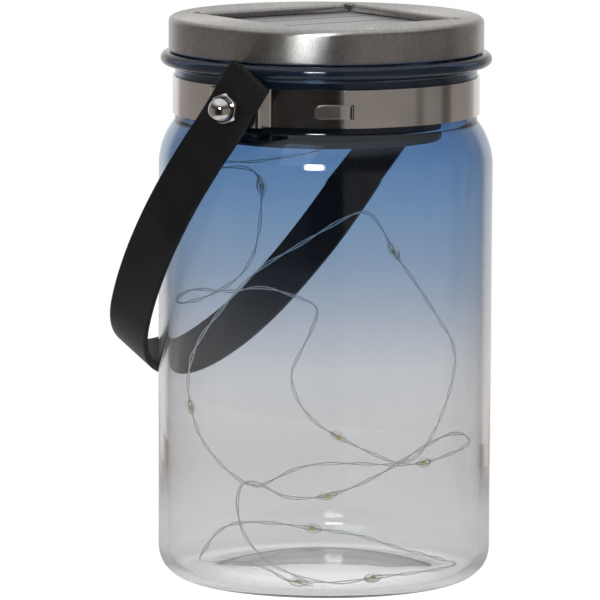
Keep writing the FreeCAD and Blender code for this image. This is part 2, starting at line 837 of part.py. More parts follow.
# Housing cover: a bevelled disc with a locating lip, posts for the board, and holes for the screws,
# the switch's knob and the wire's grommet
lip_outside = f"({cavity_radius} - cover_lip_play)"
post_places = [(f"{side} * post_spacing / 2", board_y) for side in (-1, 1)]
knob_slot = "(knob_length + switch_travel + 4 * switch_play)"
disc = fuse(
    cone("drum_radius - cover_bevel", "drum_radius", "cover_bevel", cover_low),
    cylinder("drum_radius", "cover_thickness - cover_bevel", z=f"{cover_low} + cover_bevel"),
    cut(
        cylinder(lip_outside, "cover_lip_height", z=cover_top),
        cylinder(f"{lip_outside} - cover_lip", "cover_lip_height", z=cover_top),
    ),
    *[cylinder("post_radius", "post_height", x, y, cover_top) for x, y in post_places],
)
cover_holes = [
    cylinder("grommet_radius", "cover_thickness", z=cover_low),
    block(
        knob_slot,
        "knob_width + 4 * switch_play",
        "cover_thickness",
        x="switch_offset",
        y=board_y,
        z=cover_low,
    ),
]
for x, y in boss_places:
    cover_holes.append(cylinder("screw_radius + screw_play", "cover_thickness", x, y, cover_low))
    cover_holes.append(
        cylinder("screw_head_radius + screw_head_play", "screw_head_height", x, y, cover_low)
    )
for x, y in post_places:
    cover_holes.append(
        cylinder(
            "board_screw_radius + screw_play",
            "board_screw_depth",
            x,
            y,
            f"{board_low} - board_screw_depth",
        )
    )
lid_node(cut(disc, *cover_holes), "housing_cover")

cover_screws = [
    fuse(
        cylinder("screw_head_radius", "screw_head_height", x, y, cover_low),
        cylinder(
            "screw_radius",
            "cover_thickness - screw_head_height + screw_reach - screw_play",
            x,
            y,
            f"{cover_low} + screw_head_height",
        ),
    )
    for x, y in boss_places
]
lid_node(group(*cover_screws), "cover_screws")

# Circuit board on the cover's posts, with its screws, chip and coil
board = cut(
    block("board_length", "board_width", "board_thickness", y=board_y, z=board_low),
    *[
        cylinder("board_screw_radius + screw_play", "board_thickness", x, y, board_low)
        for x, y in post_places
    ],
)
lid_node(board, "circuit_board")
board_screws = [
    fuse(
        cylinder("board_screw_head_radius", "board_screw_head_height", x, y, board_top),
        cylinder(
            "board_screw_radius",
            "board_thickness + board_screw_depth - screw_play",
            x,
            y,
            f"{board_low} - board_screw_depth + screw_play",
        ),
    )
    for x, y in post_places
]
lid_node(group(*board_screws), "board_screws")

chip = document.addObject("PartDesign::Body", "Chip")
chip_x = "-chip_offset"
padded(
    chip,
    "XZ_Plane",
    [
        (f"{chip_x} - chip_length / 2", board_top),
        (f"{chip_x} + chip_length / 2", board_top),
        (f"{chip_x} + chip_length / 2", f"{board_top} + chip_height - chip_bevel"),
        (f"{chip_x} + chip_length / 2 - chip_bevel", f"{board_top} + chip_height"),
        (f"{chip_x} - chip_length / 2 + chip_bevel", f"{board_top} + chip_height"),
        (f"{chip_x} - chip_length / 2", f"{board_top} + chip_height - chip_bevel"),
    ],
    "chip_width",
)
chip_on_board = group(chip)
place(chip, y=board_y)
lid_node(chip_on_board, "control_chip")

coil_x = "coil_offset"
coil = fuse(
    cylinder("coil_radius", "coil_rim", coil_x, board_y, board_top),
    cylinder("coil_radius - coil_waist", "coil_height", coil_x, board_y, board_top),
    cylinder("coil_radius", "coil_rim", coil_x, board_y, f"{board_top} + coil_height - coil_rim"),
)
lid_node(coil, "inductor")

# One rechargeable cell lying in the saddles, a plate at its nub and a bent leaf at its flat end
battery_body = "(battery_length - battery_nub_length)"
battery = fuse(
    cylinder("battery_radius", battery_body, "-battery_length / 2", "-battery_offset", battery_height, ALONG_X),
    cylinder(
        "battery_nub_radius",
        "battery_nub_length",
        "battery_length / 2 - battery_nub_length",
        "-battery_offset",
        battery_height,
        ALONG_X,
    ),
)
lid_node(battery, "battery")
plus_plate = block(
    "contact_sheet",
    "contact_width",
    "contact_height",
    x=f"{contact_plus_x} + contact_sheet / 2",
    y="-battery_offset",
    z=rib_low,
)
lid_node(group(plus_plate), "contact_plus")

leaf = document.addObject("PartDesign::Body", "Leaf")
leaf_back = f"(-{contact_minus_x})"
leaf_tip = "(-battery_length / 2)"
leaf_high = f"({rib_low} + contact_height)"
padded(
    leaf,
    "XZ_Plane",
    [
        (leaf_back, rib_low),
        (f"{leaf_back} + contact_sheet", rib_low),
        (f"{leaf_back} + contact_sheet", f"{leaf_high} - 2 * contact_sheet"),
        (f"{leaf_tip} - contact_sheet", battery_height),
        (f"{leaf_back} + 2 * contact_sheet", f"{rib_low} + 2 * contact_sheet"),
        (f"{leaf_back} + 3 * contact_sheet", f"{rib_low} + 2 * contact_sheet"),
        (leaf_tip, battery_height),
        (f"{leaf_back} + contact_sheet", leaf_high),
        (leaf_back, leaf_high),
    ],
    "contact_width",
)
leaf_in_place = group(leaf)
place(leaf, y="-battery_offset")
lid_node(leaf_in_place, "contact_minus")

# Slide switch under the board: its knob rides in a slot and reaches into the cover's slot
slide_rest = "(switch_offset - switch_travel / 2)"
slide_low = f"({switch_low} + slide_floor + switch_play)"
switch = cut(
    block("switch_length", "switch_width", f"{board_low} - {switch_low}", "switch_offset", board_y, switch_low),
    block(
        "slide_length + switch_travel + 2 * switch_play",
        "slide_width + 2 * switch_play",
        "slide_height + 2 * switch_play",
        "switch_offset",
        board_y,
        f"{switch_low} + slide_floor",
    ),
    block(
        "knob_length + switch_travel + 2 * switch_play",
        "knob_width + 2 * switch_play",
        "slide_floor",
        "switch_offset",
        board_y,
        switch_low,
    ),
)
lid_node(switch, "switch_body")
knob_low = f"({cover_low} + knob_recess)"
knob = fuse(
    block("slide_length", "slide_width", "slide_height", slide_rest, board_y, slide_low),
    block("knob_length", "knob_width", f"{slide_low} - {knob_low}", slide_rest, board_y, knob_low),
)
lid_node(knob, "switch_knob")

# Leads: a straight pair from the panel to the board, and one from each contact down to the board's edge
panel_leads = [
    cylinder(
        "lead_radius", f"{shelf_top} - {board_top}", f"{side} * lead_spacing / 2", lead_y, board_top
    )
    for side in (-1, 1)
]
lid_node(group(*panel_leads), "panel_leads")


def bent_lead(points, bend):
    """A round lead through these points, with an arc at each bend."""
    spots = [FreeCAD.Vector(*point) for point in points]
    path = rounded_path(spots, [bend] * (len(spots) - 2))
    section = Part.Wire(Part.Circle(spots[0], spots[1] - spots[0], sizes["lead_radius"]).toShape())
    return path.makePipeShell([section], True, False)


def rounded_path(spots, radii):
    """Straight runs joined by tangent arcs of these radii, as one wire."""
    edges = []
    here = spots[0]
    for before, corner, after, radius in zip(spots, spots[1:], spots[2:], radii):
        back = (before - corner).normalize()
        on = (after - corner).normalize()
        half_turn = (math.pi - back.getAngle(on)) / 2
        reach = radius * math.tan(half_turn)
        middle = corner + (back + on).normalize() * radius * (1 / math.cos(half_turn) - 1)
        edges.append(Part.LineSegment(here, corner + back * reach).toShape())
        edges.append(Part.Arc(corner + back * reach, middle, corner + on * reach).toShape())
        here = corner + on * reach
    edges.append(Part.LineSegment(here, spots[-1]).toShape())
    return Part.Wire(edges)


def battery_lead(side, contact_x):
    """From the foot of a contact, out over the board and down to its edge."""
    low = number(rib_low)
    contact_y = -sizes["battery_offset"]
    board_end = side * (sizes["board_length"] / 2 - sizes["lead_inset"])
    landing = number(lead_y)
    half_drop = (low - number(board_top)) / 2
    bridge = low - half_drop
    return bent_lead(
        [
            (contact_x, contact_y, low),
            (contact_x, contact_y, bridge),
            (board_end, landing, bridge),
            (board_end, landing, number(board_top)),
        ],
        sizes["lead_bend_share"] * half_drop,
    )


battery_leads = document.addObject("Part::Feature", "BatteryLeads")
battery_leads.Shape = Part.makeCompound(
    [
        battery_lead(1, number(contact_plus_x) + sizes["contact_sheet"] / 2),
        battery_lead(-1, -number(contact_minus_x) + sizes["contact_sheet"] / 2),
    ]
)
lid_node(battery_leads, "battery_leads")

# Grommet: a rubber bush in the cover's middle hole, flanged on both sides
grommet_low = f"({cover_low} - grommet_flange_height)"
grommet = cut(
    fuse(
        cylinder("grommet_radius + grommet_flange", "grommet_flange_height", z=grommet_low),
        cylinder("grommet_radius", "cover_thickness", z=cover_low),
        cylinder("grommet_radius + grommet_flange / 2", "grommet_flange_height", z=cover_top),
    ),
    cylinder("grommet_bore", "cover_thickness + 2 * grommet_flange_height", z=grommet_low),
)
lid_node(grommet, "wire_grommet")

# Light string: the wire's route, from inside the grommet down into the jar and round its floor.
# A spot with True after it carries a lamp.
route = [
    (0.0, 0.0, 136.5),
    (0.0, 0.2, 130.5),
    (-1.5, 5.0, 128.5),
    (-3.0, 12.0, 127.0),
    (-5.0, 24.0, 124.5),
    (-7.0, 33.0, 124.5),
    (-14.5, 33.5, 124.0),
    (-23.0, 28.5, 124.0),
    (-27.5, 20.0, 125.0),
    (-27.5, 11.0, 126.0),
    (-28.0, 6.0, 124.5),
    (-28.0, 4.0, 120.5, True),
    (-29.5, 3.5, 115.0),
    (-32.5, 2.0, 107.5),
    (-33.5, 3.5, 100.0),
    (-34.0, 8.5, 93.0),
    (-34.5, 20.0, 86.5),
    (-30.5, 32.5, 83.5),
    (-21.5, 39.5, 84.5),
    (-11.5, 40.0, 86.0),
    (4.0, 37.5, 83.0),
    (15.5, 33.0, 84.5),
    (24.5, 26.5, 80.5),
    (29.5, 21.0, 77.5),
    (28.5, 22.5, 71.0),
    (25.5, 25.5, 63.0),
    (22.5, 27.5, 56.5),
    (24.5, 26.0, 48.0),
    (28.5, 22.0, 41.0),
    (33.5, 16.5, 36.5, True),
    (39.0, 8.0, 31.5),
    (43.0, -0.5, 28.0),
    (42.5, -8.5, 32.0),
    (37.5, -17.5, 42.5),
    (28.5, -27.5, 55.5),
    (14.0, -38.0, 70.5),
    (-4.0, -40.0, 84.5),
    (-12.5, -38.5, 94.5),
    (-19.5, -36.0, 103.0, True),
    (-23.0, -34.5, 110.5),
    (-26.0, -30.5, 116.5),
    (-32.0, -23.0, 111.5),
    (-38.0, -14.5, 105.0),
    (-42.0, -3.5, 98.0),
    (-43.0, 7.5, 86.0),
    (-38.5, 20.5, 73.0),
    (-30.5, 29.0, 60.0),
    (-24.5, 32.0, 51.5, True),
    (-14.0, 36.5, 40.5),
    (2.5, 38.5, 28.5),
    (14.0, 35.0, 21.0),
    (21.0, 32.0, 23.5),
    (28.5, 26.5, 27.5),
    (34.5, 14.5, 28.5),
    (36.0, -1.5, 29.0),
    (36.0, -13.5, 30.5, True),
    (30.0, -28.0, 36.0),
    (23.0, -38.5, 41.0),
    (8.0, -42.0, 47.0),
    (-4.0, -40.0, 45.0),
    (-22.0, -33.0, 36.0),
    (-33.0, -23.5, 30.5, True),
    (-39.0, -12.0, 29.5),
    (-41.0, -5.5, 33.5),
    (-41.5, 1.5, 34.5),
    (-42.7, 3.0, 28.0),
    (-43.2, 0.5, 18.5),
    (-42.4, -7.2, 10.9),
    (-39.7, -15.0, 7.2),
    (-37.2, -19.7, 5.6),
    (-32.8, -25.7, 4.8),
    (-28.2, -30.3, 5.4),
    (-24.4, -33.0, 6.0, True),
    (-18.5, -35.0, 5.8),
    (-6.5, -36.5, 4.9),
    (5.5, -40.2, 5.0),
    (11.5, -40.0, 5.4),
    (16.8, -34.4, 5.5),
    (24.0, -22.3, 5.2),
    (27.5, -13.0, 5.2),
    (31.0, -2.0, 6.0),
    (33.2, 8.0, 7.0),
    (32.8, 16.0, 7.5),
    (30.6, 24.0, 7.9, True),
    (27.0, 30.8, 9.0),
    (19.5, 36.2, 10.3),
    (11.0, 39.2, 11.0),
    (0.9, 37.8, 11.0),
    (-9.0, 35.0, 9.5),
    (-15.5, 33.0, 7.0),
    (-20.7, 31.5, 5.3),
    (-23.8, 27.5, 4.8),
    (-21.0, 22.5, 5.0),
    (-19.5, 16.5, 5.8),
    (-24.8, 5.8, 5.8),
    (-31.7, -4.1, 4.7),
    (-37.2, -11.4, 4.5),
    (-37.6, -15.4, 4.9, True),
    (-35.2, -19.2, 3.8),
]
spots = [FreeCAD.Vector(*spot[:3]) for spot in route]


bend_share = 0.45
wire_sides = 6


def bend_radii():
    """The arc at each corner, which takes the same share of the shorter run beside it."""
    radii = []
    for before, corner, after in zip(spots, spots[1:], spots[2:]):
        run = min((corner - before).Length, (after - corner).Length)
        turn = (corner - before).getAngle(after - corner)
        radii.append(bend_share * run / math.tan(turn / 2))
    return radii


def least_gap(path, apart):
    """The least gap between stretches of the wire that are this far apart along it."""
    steps = 8
    points = path.discretize(Distance=apart / steps)
    gaps = [
        here.distanceToPoint(there)
        for index, here in enumerate(points)
        for there in points[index + steps :]
    ]
    return min(gaps) - 2 * sizes["wire_radius"]


def wire_shape():
    """A six-sided tube along the route, with its volume set against its section times its length."""
    radii = bend_radii()
    path = rounded_path(spots, radii)
    start = spots[0]
    direction = (spots[1] - start).normalize()
    side = direction.cross(FreeCAD.Vector(1, 0, 0)).normalize() * sizes["wire_radius"]
    corners = []
    for index in range(wire_sides + 1):
        turn = FreeCAD.Rotation(direction, 360 / wire_sides * index)
        corners.append(start + turn.multVec(side))
    outline = Part.makePolygon(corners)
    tube = path.makePipeShell([outline], True, False)
    expected = Part.Face(outline).Area * path.Length
    print(f"wire length {path.Length:.1f}, radii", " ".join(f"{radius:.1f}" for radius in radii))
    print(f"wire volume {tube.Volume:.1f}, section times length {expected:.1f}")
    print(f"least gap of the wire to itself {least_gap(path, sizes['lamp_length'] * 2):.2f}")
    return tube


light_wire = document.addObject("Part::Feature", "LightWire")
light_wire.Shape = wire_shape()
node(light_wire, "light_wire")


def lamp_shape(before, centre, after):
    """A clear drop round a lamp: an arc turned about the wire's line."""
    half = sizes["lamp_length"] / 2
    ends = FreeCAD.Vector(-half, 0, 0), FreeCAD.Vector(half, 0, 0)
    arc = Part.Arc(ends[0], FreeCAD.Vector(0, sizes["lamp_radius"], 0), ends[1]).toShape()
    face = Part.Face(Part.Wire([arc, Part.LineSegment(ends[1], ends[0]).toShape()]))
    drop = face.revolve(FreeCAD.Vector(), FreeCAD.Vector(1, 0, 0), 360).toNurbs()
    line = FreeCAD.Rotation(FreeCAD.Vector(1, 0, 0), after - before)
    drop.Placement = FreeCAD.Placement(centre, line)
    return drop


lamps = document.addObject("Part::Feature", "Lamps")
lamps.Shape = Part.makeCompound(
    [
        lamp_shape(spots[index - 1], spots[index], spots[index + 1])
        for index, spot in enumerate(route)
        if spot[-1] is True
    ]
)
node(lamps, "led_beads")

# Check every object and write one file for each piece
document.recompute()
for feature in document.Objects:
    if "Invalid" in feature.State or "Error" in feature.State:
        raise RuntimeError(f"{feature.Name} {feature.Label} failed: {feature.State}")
os.makedirs("parts", exist_ok=True)
for feature in nodes:
    if feature.Shape.isNull() or not feature.Shape.isValid():
        raise RuntimeError(f"{feature.Label} has no valid shape")
for feature in nodes:
    feature.Shape.exportStep(f"parts/{feature.Label}.step")
    print(f"{feature.Label}: {len(feature.Shape.Solids)} solids, {feature.Shape.Volume:.1f} mm3")
print(f"handle hangs {resting_tilt():.2f} degrees from straight down")
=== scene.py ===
import bpy
import math
from mathutils import Matrix, Vector


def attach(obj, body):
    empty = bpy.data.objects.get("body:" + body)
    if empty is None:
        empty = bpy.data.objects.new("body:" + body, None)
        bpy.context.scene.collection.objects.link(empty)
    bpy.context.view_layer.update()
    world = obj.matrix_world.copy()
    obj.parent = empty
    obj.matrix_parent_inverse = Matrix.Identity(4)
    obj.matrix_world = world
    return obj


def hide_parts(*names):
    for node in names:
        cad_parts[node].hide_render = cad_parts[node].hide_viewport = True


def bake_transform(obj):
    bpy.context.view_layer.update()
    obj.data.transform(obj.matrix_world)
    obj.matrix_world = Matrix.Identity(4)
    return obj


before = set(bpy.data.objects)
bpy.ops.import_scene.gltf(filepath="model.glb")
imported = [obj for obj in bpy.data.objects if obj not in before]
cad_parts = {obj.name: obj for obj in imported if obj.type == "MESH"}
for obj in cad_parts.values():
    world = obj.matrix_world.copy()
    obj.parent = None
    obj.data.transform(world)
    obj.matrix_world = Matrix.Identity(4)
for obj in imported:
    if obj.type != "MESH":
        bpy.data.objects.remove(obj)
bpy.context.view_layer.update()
mm = 0.001
print("frame loaded:", len(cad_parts), "nodes")


def clearSelection():
    if bpy.context.object and bpy.context.object.mode != "OBJECT":
        bpy.ops.object.mode_set(mode="OBJECT")
    bpy.ops.object.select_all(action="DESELECT")


def pick(*pieces):
    clearSelection()
    for piece in pieces:
        piece.select_set(True)
    bpy.context.view_layer.objects.active = pieces[0]


def editPiece(piece):
    pick(piece)
    bpy.ops.object.mode_set(mode="EDIT")
    bpy.ops.mesh.select_all(action="SELECT")


def leaveEdit():
    bpy.ops.object.mode_set(mode="OBJECT")


def selectVerts(piece, wanted):  # from edit mode, selects by place in mm
    bpy.ops.object.mode_set(mode="OBJECT")
    mesh = piece.data
    mesh.polygons.foreach_set("select", [False] * len(mesh.polygons))
    mesh.edges.foreach_set("select", [False] * len(mesh.edges))
    for vert in mesh.vertices:
        vert.select = wanted(vert.co / mm)
    bpy.ops.object.mode_set(mode="EDIT")
    bpy.ops.mesh.select_mode(type="VERT")


def selectFaces(piece, wanted):
    bpy.ops.mesh.select_mode(type="FACE")
    bpy.ops.object.mode_set(mode="OBJECT")
    mesh = piece.data
    mesh.vertices.foreach_set("select", [False] * len(mesh.vertices))
    mesh.edges.foreach_set("select", [False] * len(mesh.edges))
    for face in mesh.polygons:
        face.select = wanted(face.center / mm)
    bpy.ops.object.mode_set(mode="EDIT")


def drawLine(name, points):  # a line of edges through points in mm, left in edit mode with its end selected
    clearSelection()
    bpy.ops.mesh.primitive_plane_add(size=mm, location=(0, 0, 0))
    piece = bpy.context.object
    piece.name = name
    piece.data.name = name
    bpy.ops.object.mode_set(mode="EDIT")
    bpy.ops.mesh.select_mode(type="VERT")
    bpy.ops.mesh.select_all(action="SELECT")
    bpy.ops.mesh.merge(type="CENTER")
    spots = [Vector(point) * mm for point in points]
    bpy.ops.transform.translate(value=spots[0])
    for here, there in zip(spots, spots[1:]):
        bpy.ops.mesh.extrude_region_move(TRANSFORM_OT_translate={"value": there - here})
    return piece


def tidyMesh():  # in edit mode
    bpy.ops.mesh.select_all(action="SELECT")
    bpy.ops.mesh.remove_doubles(threshold=mm * 0.004)
    bpy.ops.mesh.normals_make_consistent(inside=False)


def spinPiece(name, profile, steps):  # profile of (radius, height) in mm, turned about Z
    piece = drawLine(name, [(radius, 0, height) for radius, height in profile])
    bpy.ops.mesh.select_all(action="SELECT")
    bpy.ops.mesh.spin(steps=steps, angle=math.tau, center=(0, 0, 0), axis=(0, 0, 1))
    tidyMesh()
    leaveEdit()
    return piece


def arc(centreX, centreY, radius, start, end, count):
    turns = [math.radians(start + (end - start) * step / count) for step in range(count + 1)]
    return [(centreX + radius * math.cos(turn), centreY + radius * math.sin(turn)) for turn in turns]


def applyModifier(piece, kind, **settings):
    pick(piece)
    modifier = piece.modifiers.new(kind.title(), kind)
    for name, value in settings.items():
        setattr(modifier, name, value)
    bpy.ops.object.modifier_apply(modifier=modifier.name)


def bevelEdges(piece, width, segments=2, angle=30):
    applyModifier(
        piece,
        "BEVEL",
        width=width * mm,
        segments=segments,
        limit_method="ANGLE",
        angle_limit=math.radians(angle),
    )


def combine(piece, other, operation):  # boolean with another piece, which is used up
    applyModifier(piece, "BOOLEAN", object=other, operation=operation, solver="EXACT")
    bpy.data.objects.remove(other)


def joinPieces(first, *others):
    pick(first, *others)
    bpy.ops.object.join()


def placePiece(piece, matrix):
    piece.matrix_world = matrix @ piece.matrix_world
    pick(piece)
    bpy.ops.object.transform_apply(location=True, rotation=True, scale=True)


def copyPiece(piece, name):
    pick(piece)
    bpy.ops.object.duplicate(linked=False)
    copy = bpy.context.object
    copy.name = name
    return copy


def mirrorPiece(piece):  # to the other side of the YZ plane
    placePiece(piece, Matrix.Scale(-1, 4, (1, 0, 0)))
    editPiece(piece)
    bpy.ops.mesh.normals_make_consistent(inside=False)
    leaveEdit()


def boxAt(name, low, high):
    clearSelection()
    centre = (Vector(low) + Vector(high)) / 2 * mm
    bpy.ops.mesh.primitive_cube_add(size=1, location=centre)
    piece = bpy.context.object
    piece.name = name
    piece.scale = (Vector(high) - Vector(low)) * mm
    bpy.ops.object.transform_apply(location=True, rotation=True, scale=True)
    return piece


def rodAt(name, radius, depth, centre, sides=48):
    clearSelection()
    bpy.ops.mesh.primitive_cylinder_add(
        vertices=sides, radius=radius * mm, depth=depth * mm, location=Vector(centre) * mm
    )
    piece = bpy.context.object
    piece.name = name
    bpy.ops.object.transform_apply(location=True, rotation=True, scale=True)
    return piece


def shadeSmooth(piece, angle=35):
    pick(piece)
    bpy.ops.object.shade_smooth_by_angle(angle=math.radians(angle))


def dress(piece, material, body, slot, *nodes):
    piece.data.materials.clear()
    piece.data.materials.append(material)
    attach(piece, body)
    if nodes:
        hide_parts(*nodes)


class Shader:  # one material's nodes
    def __init__(self, name):
        self.material = bpy.data.materials.new(name)
        self.material.use_nodes = True
        self.tree = self.material.node_tree
        self.surface = self.tree.nodes["Principled BSDF"]
        self.across = -200

    def add(self, kind, *, inputs=(), **settings):
        node = self.tree.nodes.new(kind)
        node.location = (self.across, 0)
        self.across -= 200
        for name, value in settings.items():
            setattr(node, name, value)
        for name, value in dict(inputs).items():
            self.set(node, name, value)
        return node

    def set(self, node, name, value):
        if isinstance(value, bpy.types.NodeSocket):
            self.tree.links.new(value, node.inputs[name])
        else:
            node.inputs[name].default_value = value

    def put(self, **values):
        for name, value in values.items():
            self.set(self.surface, name.replace("_", " "), value)

    def place(self, scale=(1, 1, 1), turn=(0, 0, 0), kind="Object"):
        spot = self.add("ShaderNodeTexCoord").outputs[kind]
        for name, amounts in (("Rotation", turn), ("Scale", scale)):
            mapping = self.add("ShaderNodeMapping")
            self.set(mapping, "Vector", spot)
            mapping.inputs[name].default_value = amounts
            spot = mapping.outputs["Vector"]
        return spot

    def noise(self, vector, scale, detail=3, roughness=0.55):
        node = self.add("ShaderNodeTexNoise")
        self.set(node, "Vector", vector)
        self.set(node, "Scale", scale)
        self.set(node, "Detail", detail)
        self.set(node, "Roughness", roughness)
        return node.outputs["Fac"]

    def span(self, value, low, high, fromLow=0.0, fromHigh=1.0):
        node = self.add("ShaderNodeMapRange")
        self.set(node, "Value", value)
        self.set(node, "From Min", fromLow)
        self.set(node, "From Max", fromHigh)
        self.set(node, "To Min", low)
        self.set(node, "To Max", high)
        return node.outputs["Result"]

    def ramp(self, value, stops, interpolation="EASE"):
        node = self.add("ShaderNodeValToRGB")
        self.set(node, "Fac", value)
        band = node.color_ramp
        band.interpolation = interpolation
        while len(band.elements) < len(stops):
            band.elements.new(1.0)
        for element, (place, colour) in zip(band.elements, stops):
            element.position = place
            element.color = (*colour, 1.0)
        return node.outputs["Color"]

    def mix(self, factor, first, second):
        node = self.add("ShaderNodeMix", data_type="RGBA")
        self.set(node, 0, factor)
        self.set(node, 6, first)
        self.set(node, 7, second)
        return node.outputs[2]

    def bump(self, height, strength, distance):
        node = self.add("ShaderNodeBump")
        self.set(node, "Height", height)
        self.set(node, "Strength", strength)
        self.set(node, "Distance", distance)
        self.set(self.surface, "Normal", node.outputs["Normal"])


# Camera at the photograph's angle
photoView = {
    "azimuth": -57.0,
    "elevation": 7.4,
    "distance": 2.4,
    "lens": 480.0,
    "roll": 0.005,
    "middle": (0.0, 0.0, 0.088),
    "left": 0.0075,
    "down": 0.0041,
}


def outward(azimuth, elevation):  # unit vector towards a viewer at these angles in degrees
    turn, lift = math.radians(azimuth), math.radians(elevation)
    return Vector((math.sin(turn) * math.cos(lift), -math.cos(turn) * math.cos(lift), math.sin(lift)))


def setCamera(view):
    azimuth = math.radians(view["azimuth"])
    towards = outward(view["azimuth"], view["elevation"])
    right = Vector((math.cos(azimuth), math.sin(azimuth), 0))
    up = towards.cross(right)
    aim = Vector(view["middle"]) - right * view["left"] - up * view["down"]
    data = bpy.data.cameras.new("photoCamera")
    data.lens = view["lens"]
    data.sensor_width = 36
    data.clip_end = 50
    camera = bpy.data.objects.new("photoCamera", data)
    bpy.context.collection.objects.link(camera)
    turn = Matrix((right, up, towards)).transposed().to_4x4()
    stand = Matrix.Translation(aim + towards * view["distance"])
    camera.matrix_world = stand @ turn @ Matrix.Rotation(view["roll"], 4, "Z")
    bpy.context.scene.camera = camera


setCamera(photoView)
bpy.context.scene.view_settings.view_transform = "Standard"
print("camera set")

# Light wire: two bright strands along one smooth line, and a clear drop over each lamp
lightWire = {
    "strandRadius": 0.16,
    "strandOffset": 0.36,
    "twistPitch": 23.0,
    "width": 1.0,
    "smoothSteps": 8,
    "lampLength": 6.5,
    "lampRadius": 1.5,
    "chipLow": (-0.6, -0.45, -0.75),
    "chipHigh": (0.6, 0.15, 0.75),
    "chipEdge": 0.12,
}
wireRoute = [  # mm; a spot with a fourth value carries a lamp
    (0, 0, 136.5), (0, 0.2, 130.5), (-1.5, 5, 128.5), (-3, 12, 127), (-5, 24, 124.5), (-7, 33, 124.5),
    (-14.5, 33.5, 124), (-23, 28.5, 124), (-27.5, 20, 125), (-27.5, 11, 126), (-28, 6, 124.5),
    (-28, 4, 120.5, 1), (-29.5, 3.5, 115), (-32.5, 2, 107.5), (-33.5, 3.5, 100), (-34, 8.5, 93),
    (-34.5, 20, 86.5), (-30.5, 32.5, 83.5), (-21.5, 39.5, 84.5), (-11.5, 40, 86), (4, 37.5, 83),
    (15.5, 33, 84.5), (24.5, 26.5, 80.5), (29.5, 21, 77.5), (28.5, 22.5, 71), (25.5, 25.5, 63),
    (22.5, 27.5, 56.5), (24.5, 26, 48), (28.5, 22, 41), (33.5, 16.5, 36.5, 1), (39, 8, 31.5),
    (43, -0.5, 28), (42.5, -8.5, 32), (37.5, -17.5, 42.5), (28.5, -27.5, 55.5), (14, -38, 70.5),
    (-4, -40, 84.5), (-12.5, -38.5, 94.5), (-19.5, -36, 103, 1), (-23, -34.5, 110.5), (-26, -30.5, 116.5),
    (-32, -23, 111.5), (-38, -14.5, 105), (-42, -3.5, 98), (-43, 7.5, 86), (-38.5, 20.5, 73),
    (-30.5, 29, 60), (-24.5, 32, 51.5, 1), (-14, 36.5, 40.5), (2.5, 38.5, 28.5), (14, 35, 21),
    (21, 32, 23.5), (28.5, 26.5, 27.5), (34.5, 14.5, 28.5), (36, -1.5, 29), (36, -13.5, 30.5, 1),
    (30, -28, 36), (23, -38.5, 41), (8, -42, 47), (-4, -40, 45), (-22, -33, 36), (-33, -23.5, 30.5, 1),
    (-39, -12, 29.5), (-41, -5.5, 33.5), (-41.5, 1.5, 34.5), (-42.7, 3, 28), (-43.2, 0.5, 18.5),
    (-42.4, -7.2, 10.9), (-39.7, -15, 7.2), (-37.2, -19.7, 5.6), (-32.8, -25.7, 4.8), (-28.2, -30.3, 5.4),
    (-24.4, -33, 6, 1), (-18.5, -35, 5.8), (-6.5, -36.5, 4.9), (5.5, -40.2, 5), (11.5, -40, 5.4),
    (16.8, -34.4, 5.5), (24, -22.3, 5.2), (27.5, -13, 5.2), (31, -2, 6), (33.2, 8, 7), (32.8, 16, 7.5),
    (30.6, 24, 7.9, 1), (27, 30.8, 9), (19.5, 36.2, 10.3), (11, 39.2, 11), (0.9, 37.8, 11), (-9, 35, 9.5),
    (-15.5, 33, 7), (-20.7, 31.5, 5.3), (-23.8, 27.5, 4.8), (-21, 22.5, 5), (-19.5, 16.5, 5.8),
    (-24.8, 5.8, 5.8), (-31.7, -4.1, 4.7), (-37.2, -11.4, 4.5), (-37.6, -15.4, 4.9, 1), (-35.2, -19.2, 3.8),
]


def smoothLine(route, steps):
    curve = bpy.data.curves.new("wireLine", "CURVE")
    curve.dimensions = "3D"
    spline = curve.splines.new("NURBS")
    spline.points.add(len(route) - 1)
    for point, spot in zip(spline.points, route):
        point.co = (*(Vector(spot[:3]) * mm), 1)
    spline.order_u = 3
    spline.use_endpoint_u = True
    spline.resolution_u = steps
    holder = bpy.data.objects.new("wireLine", curve)
    bpy.context.collection.objects.link(holder)
    mesh = bpy.data.meshes.new_from_object(holder)
    line = [vert.co.copy() for vert in mesh.vertices]
    bpy.data.objects.remove(holder)
    bpy.data.meshes.remove(mesh)
    return line


def lineFrames(line):  # direction and a steady side at each point, and the length so far
    frames = []
    side = Vector((1, 0, 0))
    length = 0
    for index, point in enumerate(line):
        before = line[max(index - 1, 0)]
        after = line[min(index + 1, len(line) - 1)]
        along = (after - before).normalized()
        side = (side - along * side.dot(along)).normalized()
        length += (point - before).length
        frames.append((point, along, side, length))
    return frames


def makeStrands(frames, wire):
    curve = bpy.data.curves.new("wireStrands", "CURVE")
    curve.dimensions = "3D"
    curve.bevel_depth = wire["strandRadius"] * mm
    curve.bevel_resolution = 2
    curve.use_fill_caps = True
    for start in (0, math.pi):
        spline = curve.splines.new("POLY")
        spline.points.add(len(frames) - 1)
        for spot, (point, along, side, length) in zip(spline.points, frames):
            turn = start + math.tau * length / (wire["twistPitch"] * mm)
            out = side * math.cos(turn) + along.cross(side) * math.sin(turn)
            spot.co = (*(point + out * wire["strandOffset"] * mm), 1)
    strands = bpy.data.objects.new("wireStrands", curve)
    bpy.context.collection.objects.link(strands)
    pick(strands)
    bpy.ops.object.convert(target="MESH")
    strands = bpy.context.object
    bpy.ops.object.shade_smooth()
    return strands


